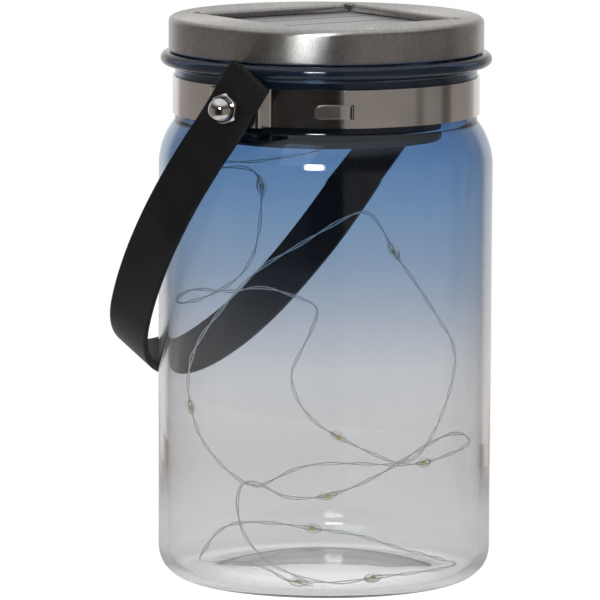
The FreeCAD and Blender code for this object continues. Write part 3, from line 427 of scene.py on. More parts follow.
def lampProfile(length, radius):
    half = length / 2
    stops = [(-1.0, 0.0), (-0.97, 0.16), (-0.86, 0.36), (-0.68, 0.62), (-0.45, 0.87), (-0.2, 0.99)]
    stops += [(0.05, 1.0), (0.3, 0.92), (0.52, 0.76), (0.72, 0.53), (0.88, 0.3), (0.97, 0.15), (1.0, 0.0)]
    return [(radius * wide, half * place) for place, wide in stops]


def makeLamps(frames, route, wire):
    drop = spinPiece("lampDrops", lampProfile(wire["lampLength"], wire["lampRadius"]), 20)
    shadeSmooth(drop, 60)
    chip = boxAt("lampChips", wire["chipLow"], wire["chipHigh"])
    bevelEdges(chip, wire["chipEdge"])
    drops, chips = [], []
    for spot in route:
        if len(spot) == 3:
            continue
        wanted = Vector(spot[:3]) * mm
        point, along, side, length = min(frames, key=lambda entry: (entry[0] - wanted).length)
        turn = Matrix((side.cross(along), side, along)).transposed()  # the drop's Z lies along the wire
        place = Matrix.Translation(point) @ turn.to_4x4()
        for source, made in ((drop, drops), (chip, chips)):
            copy = copyPiece(source, source.name + "Copy")
            placePiece(copy, place)
            made.append(copy)
    for source, made in ((drop, drops), (chip, chips)):
        bpy.data.objects.remove(source)
        joinPieces(*made)
    drops[0].name = "lampDrops"
    chips[0].name = "lampChips"
    return drops[0], chips[0]


wireLine = smoothLine(wireRoute, lightWire["smoothSteps"])
wireFrames = lineFrames(wireLine)
strands = makeStrands(wireFrames, lightWire)
lampDrops, lampChips = makeLamps(wireFrames, wireRoute, lightWire)


def strandFinish():
    shader = Shader("brightWire")
    grain = shader.noise(shader.place(), 900)
    shader.put(Base_Color=shader.ramp(grain, [(0.3, (0.86, 0.85, 0.81)), (0.7, (0.98, 0.97, 0.93))]))
    shader.put(Metallic=0.15, Roughness=shader.span(grain, 0.16, 0.34))
    return shader.material


def dropFinish():
    shader = Shader("clearDrop")
    swirl = shader.noise(shader.place(), 700)
    shader.put(Base_Color=shader.ramp(swirl, [(0.3, (0.97, 0.965, 0.93)), (0.7, (1.0, 0.99, 0.97))]))
    shader.put(Transmission_Weight=0.86, IOR=1.15, Roughness=shader.span(swirl, 0.04, 0.12))
    return shader.material


def chipFinish():
    shader = Shader("lampChip")
    spread = shader.noise(shader.place(), 1200)
    shader.put(Base_Color=shader.ramp(spread, [(0.35, (1.0, 0.82, 0.28)), (0.65, (1.0, 0.90, 0.46))]))
    shader.put(Roughness=shader.span(spread, 0.3, 0.5))
    return shader.material


for piece, finish, slot, nodes in (
    (strands, strandFinish(), "wire_silver", ("light_wire",)),
    (lampDrops, dropFinish(), "lamp_clear", ("led_beads",)),
    (lampChips, chipFinish(), "lamp_clear", ()),
):
    piece.data.materials.clear()
    piece.data.materials.append(finish)
    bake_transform(piece)
    if nodes:
        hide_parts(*nodes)
print("light wire:", len(wireLine), "points")

# Glass jar, turned from its own profile
jarShape = {
    "radius": 50.0,
    "foot": 49.8,
    "corner": 10.0,
    "pushUp": 4.5,
    "pushUpRadius": 33.4,
    "shoulder": 125.0,
    "shoulderArc": 21.3,
    "neck": 45.2,
    "neckRound": 2.0,
    "bead": 157.0,
    "beadReach": 49.6,
    "beadTube": 1.9,
    "beadWeb": 2.0,
    "collar": 44.6,
    "rim": 165.6,
    "rimRound": 0.9,
    "bore": 42.4,
    "wall": 2.8,
    "floor": 2.6,
    "floorCorner": 7.4,
    "turns": 144,
}


def domePoints(radius, rise, base, count):
    curve = (radius**2 + rise**2) / (2 * rise)
    places = [radius * step / count for step in range(count + 1)]
    return [(place, base + rise - curve + math.sqrt(curve**2 - place**2)) for place in places]


def makeJar(jar):
    centre = jar["radius"] - jar["shoulderArc"]
    fillet = jar["neck"] + jar["neckRound"]
    reach = jar["shoulderArc"] + jar["neckRound"]
    lift = math.sqrt(reach**2 - (fillet - centre) ** 2)
    slope = math.degrees(math.atan2(lift, fillet - centre))
    beadX = jar["beadReach"] - jar["beadTube"]
    beadLow, web = jar["bead"] - jar["beadTube"], jar["beadWeb"]
    profile = domePoints(jar["pushUpRadius"], jar["pushUp"], 0, 12)
    profile += arc(jar["foot"] - jar["corner"], jar["corner"], jar["corner"], -90, 0, 16)
    taper, rise = jar["radius"] - jar["foot"], jar["shoulder"] - jar["corner"]
    profile += [(jar["foot"] + taper * step / 6, jar["corner"] + rise * step / 6) for step in range(1, 6)]
    profile += arc(centre, jar["shoulder"], jar["shoulderArc"], 0, slope, 18)
    profile += arc(fillet, jar["shoulder"] + lift, jar["neckRound"], 180 + slope, 180, 8)[1:]
    profile += arc(jar["neck"] + web, beadLow - web, web, 180, 90, 10)
    profile += arc(beadX, jar["bead"], jar["beadTube"], -90, 90, 24)
    profile += [(jar["collar"], jar["bead"] + jar["beadTube"])]
    profile += arc(jar["collar"] - jar["rimRound"], jar["rim"] - jar["rimRound"], jar["rimRound"], 0, 90, 6)
    profile += arc(jar["bore"] + jar["rimRound"], jar["rim"] - jar["rimRound"], jar["rimRound"], 90, 180, 6)
    inner = jar["shoulderArc"] - jar["wall"]
    bend = math.degrees(math.acos((jar["bore"] - centre) / inner))
    profile += arc(centre, jar["shoulder"], inner, bend, 0, 18)
    inside = jar["foot"] - jar["wall"]
    curl = jar["floorCorner"]
    profile += arc(inside - curl, jar["floor"] + curl, curl, 0, -90, 16)
    profile += reversed(domePoints(jar["pushUpRadius"], jar["pushUp"], jar["floor"], 12))
    piece = spinPiece("glassJar", profile, jar["turns"])
    shadeSmooth(piece, 40)
    return piece


def glassFinish():
    shader = Shader("fadedGlass")
    coords = shader.add("ShaderNodeTexCoord")
    split = shader.add("ShaderNodeSeparateXYZ")
    shader.set(split, "Vector", coords.outputs["Object"])
    patch = shader.noise(shader.place(scale=(1, 1, 0.4)), 22, detail=2)
    wander = shader.add("ShaderNodeMath", operation="MULTIPLY_ADD")
    shader.set(wander, 0, patch)
    shader.set(wander, 1, 0.006)
    shader.set(wander, 2, split.outputs["Z"])
    height = shader.span(wander.outputs[0], 0, 1, 0.003, 0.173)
    # the stops near the bottom grey the clear glass: painted shade on the foot and lower wall; higher up they
    # give the glass's blue tint, deepest at the top
    stops = [
        (0.0, (0.79, 0.795, 0.80)),
        (0.06, (0.73, 0.735, 0.74)),
        (0.20, (0.745, 0.75, 0.755)),
        (0.32, (0.785, 0.79, 0.80)),
        (0.41, (0.73, 0.755, 0.79)),
        (0.46, (0.66, 0.70, 0.76)),
        (0.53, (0.54, 0.615, 0.715)),
        (0.59, (0.475, 0.575, 0.70)),
        (0.675, (0.39, 0.52, 0.685)),
        (0.765, (0.298, 0.444, 0.636)),
        (0.85, (0.165, 0.27, 0.44)),
        (1.0, (0.12, 0.21, 0.37)),
    ]
    flat = shader.add("ShaderNodeVectorMath", operation="LENGTH", inputs={0: shader.place(scale=(1, 1, 0))})
    paintedBaseLight = shader.span(flat.outputs["Value"], 1, 0, 0.033, 0.041)  # painted light: the glass is paler inside the foot ring, partly clearer base glass and partly lifting the shade seen through the base
    shader.put(Base_Color=shader.mix(paintedBaseLight, shader.ramp(height, stops, "LINEAR"), (0.95, 0.955, 0.96, 1)))
    haze = [(0.3, 0.0), (0.42, 0.035), (0.6, 0.003), (0.84, 0.003), (0.90, 0.035)]  # share by height
    hazed = shader.ramp(height, [(place, (part,) * 3) for place, part in haze], "LINEAR")
    clear = shader.span(hazed, 1.0, 0.0)
    shader.put(Transmission_Weight=clear, IOR=1.5, Roughness=0.0)
    ripple = shader.noise(shader.place(scale=(1, 1, 0.5)), 45, detail=1)
    shader.bump(ripple, 0.012, 0.002)
    return shader.material


jarGlass = makeJar(jarShape)
dress(jarGlass, glassFinish(), "jar", "glass_blue", "glass_jar")
print("jar made")

# Steel band round the neck, with its lapped ends, slot and folded tongue
bandShape = {
    "inside": 45.3,
    "sheet": 0.6,
    "low": 140.6,
    "middle": 145.4,
    "high": 151.8,
    "lapInside": 45.95,
    "lapStart": 219.3,
    "lapEnd": 231.15,
    "joggleEnd": 236.15,
    "slotStart": 221.67,
    "slotEnd": 223.04,
    "slotHalf": 2.15,
    "pocketOut": 50.1,
    "pocketHalf": 8.8,
    "pocketSlope": 0.6,
    "pocketRound": 1.1,
    "riser": 222.35,
    "tongueInside": 46.65,
    "tongueEnd": 208.6,
    "tongueHalf": 1.9,
    "tongueTurn": 3.7,
    "tongueRound": 1.8,
    "tongueBend": 0.4,
    "lapRound": 1.0,
    "edge": 0.1,
}


def polar(radius, angle, height=0.0):
    turn = math.radians(angle)
    return (radius * math.cos(turn), radius * math.sin(turn), height)


def sweep(radius, start, end, height, step=2.0):
    count = max(1, round(abs(end - start) / step))
    return [polar(radius, start + (end - start) * index / count, height) for index in range(count + 1)]


def bandLine(band):
    radius = band["inside"] + band["sheet"] / 2
    lap = band["lapInside"] + band["sheet"] / 2
    flat = band["pocketOut"] - band["sheet"] / 2
    half = band["pocketHalf"] - band["sheet"] / 2
    foot = math.degrees(math.asin((half + band["pocketSlope"]) / radius))
    low = band["low"]
    line = [polar(lap, band["lapStart"], low)]
    line += sweep(lap, band["slotStart"], band["slotEnd"], low)
    line += sweep(lap, band["slotEnd"], band["lapEnd"], low)[1:]
    start = band["joggleEnd"]
    for side in (360, 540):
        line += sweep(radius, start, side - foot, low)
        sign = 1 if side == 360 else -1
        line += [(sign * flat, way * half * sign, low) for way in (-1, 1)]
        start = side + foot
    line += sweep(radius, start, band["riser"] + 360, low)
    return line


def makeBand(band):
    strip = drawLine("neckBand", bandLine(band))
    flat = band["pocketOut"] - band["sheet"] / 2
    foot = band["pocketHalf"] - band["sheet"] / 2 + band["pocketSlope"]

    def atPocket(place):
        return abs(abs(place.x) - flat) < 0.05 or abs(abs(place.y) - foot) < 0.05 and abs(place.x) > foot

    selectVerts(strip, atPocket)
    bpy.ops.mesh.bevel(affect="VERTICES", offset=band["pocketRound"] * mm, segments=6)
    bpy.ops.mesh.select_all(action="SELECT")
    levels = [band["low"], band["middle"] - band["slotHalf"], band["middle"] + band["slotHalf"], band["high"]]
    for here, there in zip(levels, levels[1:]):
        bpy.ops.mesh.extrude_region_move(TRANSFORM_OT_translate={"value": (0, 0, (there - here) * mm)})
    slotAngle = (band["slotStart"] + band["slotEnd"]) / 2

    def inSlot(place):
        turn = math.degrees(math.atan2(place.y, place.x)) % 360
        outside = math.hypot(place.x, place.y) > band["lapInside"]
        return outside and abs(turn - slotAngle) < 0.6 and abs(place.z - band["middle"]) < band["slotHalf"]

    selectFaces(strip, inSlot)
    bpy.ops.mesh.delete(type="FACE")
    end = Vector(polar(band["lapInside"] + band["sheet"] / 2, band["lapStart"]))

    def atLapCorner(place):
        outer = abs(place.z - band["middle"]) > band["slotHalf"] + 1
        return outer and (place.xy - end.xy).length < 0.05

    selectVerts(strip, atLapCorner)
    bpy.ops.mesh.bevel(affect="VERTICES", offset=band["lapRound"] * mm, segments=4)
    leaveEdit()
    applyModifier(strip, "SOLIDIFY", thickness=band["sheet"] * mm, offset=0.0)
    bevelEdges(strip, band["edge"])
    return strip


def makeTongue(band):
    low = band["middle"] - band["tongueHalf"]
    out = band["tongueInside"] + band["sheet"] / 2
    line = [polar(band["inside"] + band["sheet"] / 2, band["riser"], low)]
    corner = Vector(polar(out, band["riser"], low))
    along = Vector(polar(1, band["riser"] - 90 - band["tongueTurn"]))
    length = math.radians(band["riser"] - band["tongueEnd"]) * out
    line += [corner + along * length * step / 6 for step in range(7)]
    tongue = drawLine("bandTongue", line)
    selectVerts(tongue, lambda place: (place - corner).length < 0.05)
    bpy.ops.mesh.bevel(affect="VERTICES", offset=band["tongueBend"] * mm, segments=5)
    bpy.ops.mesh.select_all(action="SELECT")
    bpy.ops.mesh.extrude_region_move(TRANSFORM_OT_translate={"value": (0, 0, 2 * band["tongueHalf"] * mm)})
    tip = corner + along * length
    selectVerts(tongue, lambda place: (place.xy - tip.xy).length < 0.05)
    bpy.ops.mesh.bevel(affect="VERTICES", offset=band["tongueRound"] * mm, segments=5)
    leaveEdit()
    applyModifier(tongue, "SOLIDIFY", thickness=band["sheet"] * mm, offset=0.0)
    bevelEdges(tongue, band["edge"])
    return tongue


def bandFinish():
    shader = Shader("polishedBand")
    grain = shader.noise(shader.place(scale=(0.3, 0.3, 8)), 300)
    smudge = shader.noise(shader.place(), 60, detail=2)
    shader.put(Base_Color=shader.ramp(smudge, [(0.3, (0.74, 0.735, 0.73)), (0.7, (0.84, 0.833, 0.825))]))
    shader.put(Metallic=1.0, Roughness=shader.span(grain, 0.06, 0.16))
    shader.bump(grain, 0.03, 0.0002)
    return shader.material


polished = bandFinish()
neckBand = makeBand(bandShape)
joinPieces(neckBand, makeTongue(bandShape))
editPiece(neckBand)
bpy.ops.mesh.normals_make_consistent(inside=False)
leaveEdit()
shadeSmooth(neckBand, 35)
applyModifier(neckBand, "WEIGHTED_NORMAL", keep_sharp=True)
dress(neckBand, polished, "jar", "polished_steel", "neck_band")
print("band made")

# Cap nuts: a six-sided foot with turned corners, a collar and a dome
nutShape = {
    "flats": 8.4,
    "hexHeight": 3.6,
    "collar": 0.8,
    "dome": 3.7,
    "seat": 52.55,
    "height": 146.2,
    "bore": 2.6,
    "depth": 5.1,
    "turn": -9.0,
    "edge": 0.25,
    "domeLow": 0.5,
}


def makeNut(nut):
    reach = math.hypot(nut["flats"] / 2, nut["hexHeight"])
    corner = nut["flats"] / 2 / math.cos(math.pi / 6)
    hexagon = rodAt("capNut", corner, nut["hexHeight"], (0, 0, nut["hexHeight"] / 2), 6)
    placePiece(hexagon, Matrix.Rotation(math.radians(30 + nut["turn"]), 4, "Z"))
    bevelEdges(hexagon, nut["edge"], 3, 40)
    barrel = spinPiece("nutBarrel", [(0, 0)] + arc(0, 0, reach, 0, 90, 24), 72)
    combine(hexagon, barrel, "INTERSECT")
    top = nut["hexHeight"] + nut["collar"]
    dome = [(0, nut["domeLow"]), (nut["dome"], nut["domeLow"]), (nut["dome"], top)]
    dome += arc(0, top, nut["dome"], 0, 90, 18)[1:]
    dome = spinPiece("nutDome", dome, 48)
    combine(hexagon, dome, "UNION")
    combine(hexagon, rodAt("nutBore", nut["bore"], 2 * nut["depth"], (0, 0, 0)), "DIFFERENCE")
    return hexagon


nearNut = makeNut(nutShape)
nutSpot = Matrix.Translation(Vector((-nutShape["seat"], 0, nutShape["height"])) * mm)
placePiece(nearNut, nutSpot @ Matrix.Rotation(-math.pi / 2, 4, "Y"))
farNut = copyPiece(nearNut, "farNut")
mirrorPiece(farNut)
joinPieces(nearNut, farNut)
nearNut.name = "capNuts"
shadeSmooth(nearNut, 28)


def chromeFinish():
    shader = Shader("chromeNut")
    haze = shader.noise(shader.place(), 500)
    shader.put(Base_Color=shader.ramp(haze, [(0.3, (0.70, 0.695, 0.69)), (0.7, (0.78, 0.775, 0.77))]))
    shader.put(Metallic=1.0, Roughness=shader.span(haze, 0.05, 0.12))
    return shader.material


dress(nearNut, chromeFinish(), "jar", "polished_steel", "cap_nuts")
print("nuts made")

# Strap handle: straight tabs, slight flare, bowed arms and a round grip
strapShape = {
    "width": 15.0,
    "thick": 2.0,
    "tab": 51.4,
    "tail": 12.4,
    "flareStart": 4.0,
    "flareRadius": 60.0,
    "flare": 6.8,
    "reach": 101.3,
    "gripRadius": 43.8,
    "hole": 3.08,
    "tilt": 34.35,
    "height": 146.2,
    "edge": 0.35,
}


def strapLine(strap):
    flare = math.radians(strap["flare"])
    endX = strap["tab"] + strap["flareRadius"] * (1 - math.cos(flare))
    endY = strap["flareStart"] + strap["flareRadius"] * math.sin(flare)
    grip = strap["reach"] - strap["gripRadius"]
    spanX, spanY = endX, endY - grip
    dot = -spanX * math.cos(flare) + spanY * math.sin(flare)
    armRadius = (strap["gripRadius"] ** 2 - spanX**2 - spanY**2) / (2 * (dot + strap["gripRadius"]))
    armX = endX - math.cos(flare) * armRadius
    armY = endY + math.sin(flare) * armRadius
    meeting = math.degrees(math.atan2(grip - armY, -armX))
    half = [(strap["tab"], -strap["tail"]), (strap["tab"], -strap["flareStart"])]
    bow = strap["flareRadius"]
    half += arc(strap["tab"] + bow, strap["flareStart"], bow, 180, 180 - strap["flare"], 5)
    half += arc(armX, armY, armRadius, -strap["flare"], meeting, 24)[1:]
    half += arc(0, grip, strap["gripRadius"], meeting, 90, 24)[1:]
    return half + [(-x, y) for x, y in reversed(half[:-1])]


def makeStrap(strap):
    low = -strap["width"] / 2
    piece = drawLine("handleStrap", [(x, y, low) for x, y in strapLine(strap)])
    bpy.ops.mesh.select_all(action="SELECT")
    bpy.ops.mesh.extrude_region_move(TRANSFORM_OT_translate={"value": (0, 0, strap["width"] * mm)})
    tidyMesh()
    leaveEdit()
    applyModifier(piece, "SOLIDIFY", thickness=strap["thick"] * mm, offset=0.0)
    editPiece(piece)
    bpy.ops.mesh.normals_make_consistent(inside=False)
    leaveEdit()
    bevelEdges(piece, strap["edge"], 3, 40)
    drill = rodAt("strapDrill", strap["hole"], 3 * strap["tab"], (0, 0, 0))
    placePiece(drill, Matrix.Rotation(math.pi / 2, 4, "Y"))
    combine(piece, drill, "DIFFERENCE")
    lean = Matrix.Rotation(math.radians(strap["tilt"] - 90), 4, "X")
    placePiece(piece, Matrix.Translation((0, 0, strap["height"] * mm)) @ lean)
    shadeSmooth(piece, 35)
    return piece


def strapFinish():
    shader = Shader("mattBlack")
    place = shader.place()
    fine = shader.noise(place, 1400, detail=4, roughness=0.7)
    broad = shader.noise(place, 70, detail=2)
    shader.put(Base_Color=shader.ramp(broad, [(0.3, (0.005, 0.005, 0.0055)), (0.7, (0.009, 0.009, 0.0095))]))
    shader.put(Roughness=shader.span(fine, 0.36, 0.5), Specular_IOR_Level=0.18)
    shader.bump(fine, 0.12, 0.0003)
    return shader.material


handleStrap = makeStrap(strapShape)
dress(handleStrap, strapFinish(), "handle", "black_strap", "handle_strap")
print("strap made")

# Lid: a drawn cap with a rolled hem and a square window with folded sides
lidShape = {
    "radius": 47.15,
    "sheet": 0.7,
    "top": 169.6,
    "low": 159.2,
    "round": 1.8,
    "hem": 1.5,
    "window": 55.0,
    "bend": 1.4,
    "drop": 2.1,
    "notch": 1.9,
    "tabGap": 0.3,
    "cut": (150, 180),
    "turn": 67.5,
    "brushing": 57.0,
}


def lidProfile(lid):
    radius, sheet, hem = lid["radius"], lid["sheet"], lid["hem"]
    under = lid["top"] - sheet
    rolled = arc(radius - hem / 2, lid["low"] + hem / 2, hem / 2, -180, 0, 14)
    crownX, crownZ = radius - lid["round"], lid["top"] - lid["round"]
    inner = [(0, under)] + arc(crownX, crownZ, lid["round"] - sheet, 90, 0, 6)
    inner += [(radius - sheet, lid["low"] + 1.7 * hem), (radius - hem, lid["low"] + hem)]
    outer = arc(crownX, crownZ, lid["round"], 0, 90, 10)
    return inner + rolled + outer + [(0, lid["top"])]


def makeLid(lid):
    piece = spinPiece("lidCap", lidProfile(lid), 160)
    fold = lid["window"] / 2 + lid["bend"]
    low, high = lid["cut"]
    combine(piece, boxAt("windowCut", (-fold, -fold, low), (fold, fold, high)), "DIFFERENCE")
    half = lid["window"] / 2 - lid["notch"]
    side = lid["window"] / 2
    top, sheet = lid["top"], lid["sheet"]
    bend = arc(fold, top - lid["bend"], lid["bend"], 90, 180, 8)
    inner = arc(fold, top - lid["bend"], lid["bend"] - sheet, 180, 90, 8)
    outline = bend + [(side, top - lid["drop"]), (side + sheet, top - lid["drop"])] + inner
    tab = drawLine("windowFold", [(x, -half, z) for x, z in outline])
    bpy.ops.mesh.select_all(action="SELECT")
    bpy.ops.mesh.edge_face_add()
    bpy.ops.mesh.extrude_region_move(TRANSFORM_OT_translate={"value": (0, 2 * half * mm, 0)})
    selectVerts(tab, lambda place: place.z < top - lid["drop"] + 0.05)  # the sides meet at their lower edges
    bpy.ops.transform.resize(value=(1, (side - lid["tabGap"]) / half, 1), center_override=(0, 0, 0))
    tidyMesh()
    leaveEdit()
    tabs = [tab]
    for index in range(1, 4):
        copy = copyPiece(tab, f"windowFold{index}")
        placePiece(copy, Matrix.Rotation(index * math.pi / 2, 4, "Z"))
        tabs.append(copy)
    joinPieces(piece, *tabs)
    placePiece(piece, Matrix.Rotation(math.radians(lid["turn"]), 4, "Z"))
    shadeSmooth(piece, 30)
    return piece


def lidFinish(lid):
    shader = Shader("brushedLid")
    brushed = shader.place(scale=(220, 6, 70), turn=(0, 0, math.radians(lid["brushing"])))
    lines = shader.noise(brushed, 10, detail=4, roughness=0.75)
    cloud = shader.noise(shader.place(), 30, detail=2)
    shader.put(Base_Color=shader.ramp(lines, [(0.3, (0.38, 0.377, 0.37)), (0.7, (0.53, 0.525, 0.515))]))
    shader.put(Metallic=1.0, Roughness=shader.span(cloud, 0.28, 0.34))
    shader.put(Anisotropic=0.85, Anisotropic_Rotation=0.197)
    around = shader.add("ShaderNodeTangent", direction_type="RADIAL", axis="Z")
    shader.put(Tangent=around.outputs["Tangent"])
    shader.bump(lines, 0.2, 0.0002)
    return shader.material


lidCap = makeLid(lidShape)
dress(lidCap, lidFinish(lidShape), "lid", "brushed_lid", "lid_cap")
print("lid made")

# Insert under the lid: turned housing, its cover and the wire's grommet
insertShape = {
    "flange": 44.4,
    "flangeLow": 167.2,
    "flangeHigh": 168.9,
    "plug": 41.6,
    "plugLow": 147.0,
    "drum": 34.5,
    "drumHigh": 141.0,
    "seat": 135.2,
    "wall": 1.6,
    "shelf": 162.8,
    "low": 133.0,
    "bevel": 0.8,
    "screwCircle": 25.5,
    "screwHead": 2.6,
    "screwDepth": 1.2,
    "slot": (5.8, 2.4),
    "slotPlace": (3.0, 12.5),
    "slotCut": (130, 140),
    "pocket": 41.0,
    "pocketFloor": 164.6,
    "edge": 0.2,
    "coverEdge": 0.1,
    "taperLow": (0.3, 0.4),
    "taperHigh": 0.3,
    "grommetHole": 2.8,
    "grommetCut": 20,
    "turn": 67.5,
}
grommetShape = {
    "bore": 1.3,
    "low": 131.9,
    "neck": 2.8,
    "neckLow": 133.0,
    "neckHigh": 135.2,
    "high": 136.3,
    "flange": 4.1,
    "flangeRound": 0.3,
    "lip": [(3.3, 135.2), (3.45, 135.5), (3.45, 136.0), (3.2, 136.3)],
}


def makeHousing(insert):
    cavity = insert["drum"] - insert["wall"]
    edge, drum, plug = insert["edge"], insert["drum"], insert["plug"]
    out, down = insert["taperLow"]
    profile = [(0, insert["shelf"]), (cavity, insert["shelf"])]
    profile += [(cavity, insert["seat"]), (drum - edge, insert["seat"])]
    profile += [(drum, insert["seat"] + edge), (drum, insert["drumHigh"] - down)]
    profile += [(drum + out, insert["drumHigh"]), (plug - insert["taperHigh"], insert["plugLow"] - edge)]
    profile += [(plug, insert["plugLow"] + edge), (plug, insert["flangeLow"])]
    profile += [(insert["flange"], insert["flangeLow"]), (insert["flange"], insert["flangeHigh"])]
    profile += [(insert["pocket"], insert["flangeHigh"]), (insert["pocket"], insert["pocketFloor"])]
    profile += [(0, insert["pocketFloor"])]
    housing = spinPiece("insertHousing", profile, 96)
    shadeSmooth(housing, 30)
    return housing


def makeCover(insert):
    low, drum, bevel, edge = insert["low"], insert["drum"], insert["bevel"], insert["coverEdge"]
    profile = [(0, low), (drum - bevel - edge, low), (drum - edge, low + bevel), (drum, low + bevel + edge)]
    profile += [(drum, insert["seat"]), (0, insert["seat"])]
    cover = spinPiece("insertCover", profile, 96)
    for index in range(3):
        turn = math.radians(30 + 120 * index)
        spot = (insert["screwCircle"] * math.cos(turn), insert["screwCircle"] * math.sin(turn), low)
        combine(cover, rodAt("screwSink", insert["screwHead"], 2 * insert["screwDepth"], spot), "DIFFERENCE")
    slotX, slotY = insert["slotPlace"]
    halfX, halfY = insert["slot"][0] / 2, insert["slot"][1] / 2
    under, over = insert["slotCut"]
    cut = boxAt("knobSlot", (slotX - halfX, slotY - halfY, under), (slotX + halfX, slotY + halfY, over))
    combine(cover, cut, "DIFFERENCE")
    hole = rodAt("grommetHole", insert["grommetHole"], insert["grommetCut"], (0, 0, low))
    combine(cover, hole, "DIFFERENCE")
    placePiece(cover, Matrix.Rotation(math.radians(insert["turn"]), 4, "Z"))
    shadeSmooth(cover, 25)
    return cover


def makeGrommet(bush):
    bore, low, flange, soft = bush["bore"], bush["low"], bush["flange"], bush["flangeRound"]
    profile = [(bore, low), (flange - soft, low), (flange, low + soft)]
    profile += [(flange, bush["neckLow"] - soft), (flange - soft, bush["neckLow"])]
    profile += [(bush["neck"], bush["neckLow"]), (bush["neck"], bush["neckHigh"])]
    profile += bush["lip"] + [(bore, bush["high"]), (bore, low)]
    grommet = spinPiece("wireGrommet", profile, 40)
    shadeSmooth(grommet, 50)
    return grommet


def mouldedFinish(name, low, high, rough, coat=0.0):
    shader = Shader(name)
    fine = shader.noise(shader.place(), 1100, detail=3)
    shader.put(Base_Color=shader.ramp(fine, [(0.3, low), (0.7, high)]))
    shader.put(Roughness=shader.span(fine, rough - 0.06, rough + 0.06))
    shader.put(Coat_Weight=coat, Coat_Roughness=0.3, Coat_IOR=1.9)
    shader.bump(fine, 0.1, 0.0002)
    return shader.material


blackMould = mouldedFinish("mouldedBlack", (0.012, 0.012, 0.014), (0.024, 0.024, 0.027), 0.5)
darkRubber = mouldedFinish("darkRubber", (0.018, 0.018, 0.018), (0.032, 0.032, 0.032), 0.7)
dress(makeHousing(insertShape), blackMould, "lid", "housing_black", "electronics_housing")
dress(makeCover(insertShape), blackMould, "lid", "housing_black", "housing_cover")
dress(makeGrommet(grommetShape), darkRubber, "lid", "rubber_dark", "wire_grommet")
print("insert made")


# Finishes of the pieces that keep their solids
def cellFinish():
    shader = Shader("solarCell")
    place = shader.place(turn=(0, 0, -math.radians(lidShape["turn"])))
    split = shader.add("ShaderNodeSeparateXYZ")
    shader.set(split, "Vector", place)
    fingers = shader.add("ShaderNodeMath", operation="PINGPONG")
    shader.set(fingers, 0, split.outputs["Y"])
    shader.set(fingers, 1, 0.001)
    thin = shader.span(fingers.outputs[0], 1, 0, 0.00005, 0.00009)
    shade = shader.noise(shader.place(), 40, detail=2)
    dark = shader.ramp(shade, [(0.3, (0.008, 0.011, 0.028)), (0.7, (0.016, 0.022, 0.055))])
    shader.put(Base_Color=shader.mix(thin, dark, (0.42, 0.43, 0.46, 1)))
    shader.put(Roughness=shader.span(shade, 0.35, 0.45), Specular_IOR_Level=0.8)
    shader.put(Coat_Weight=1.0, Coat_Roughness=0.3, Coat_IOR=1.9)
    return shader.material


def steelFinish(name, low, high, rough):
    shader = Shader(name)
    grain = shader.noise(shader.place(), 700)
    shader.put(Base_Color=shader.ramp(grain, [(0.3, low), (0.7, high)]))
    shader.put(Metallic=1.0, Roughness=shader.span(grain, rough - 0.05, rough + 0.08))
    return shader.material


keptFinishes = {
    "pivot_bolts": polished,
    "lid_gasket": darkRubber,
    "panel_seal": darkRubber,
    "solar_panel": mouldedFinish("panelBoard", (0.02, 0.024, 0.034), (0.034, 0.04, 0.055), 0.45, 1.0),
    "solar_cells": cellFinish(),
    "cover_screws": steelFinish("screwSteel", (0.5, 0.5, 0.5), (0.64, 0.64, 0.63), 0.3),
    "circuit_board": mouldedFinish("boardGreen", (0.015, 0.12, 0.05), (0.03, 0.2, 0.09), 0.35),
    "control_chip": mouldedFinish("chipBlack", (0.015, 0.015, 0.015), (0.03, 0.03, 0.03), 0.4),
    "inductor": mouldedFinish("coilGrey", (0.08, 0.075, 0.075), (0.15, 0.14, 0.14), 0.6),
    "battery": mouldedFinish("cellSleeve", (0.08, 0.24, 0.12), (0.14, 0.34, 0.18), 0.3),
    "contact_plus": steelFinish("contactNickel", (0.62, 0.6, 0.56), (0.78, 0.76, 0.71), 0.22),
    "switch_body": mouldedFinish("switchGrey", (0.07, 0.07, 0.07), (0.12, 0.12, 0.12), 0.5),
    "panel_leads": mouldedFinish("leadSleeve", (0.3, 0.02, 0.02), (0.42, 0.035, 0.03), 0.45),
}
keptFinishes["board_screws"] = keptFinishes["cover_screws"]
keptFinishes["contact_minus"] = keptFinishes["contact_plus"]
keptFinishes["switch_knob"] = keptFinishes["switch_body"]
keptFinishes["battery_leads"] = keptFinishes["panel_leads"]
for node, finish in keptFinishes.items():
    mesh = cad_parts[node].data
    mesh.materials.clear()
    mesh.materials.append(finish)
print("finishes set")

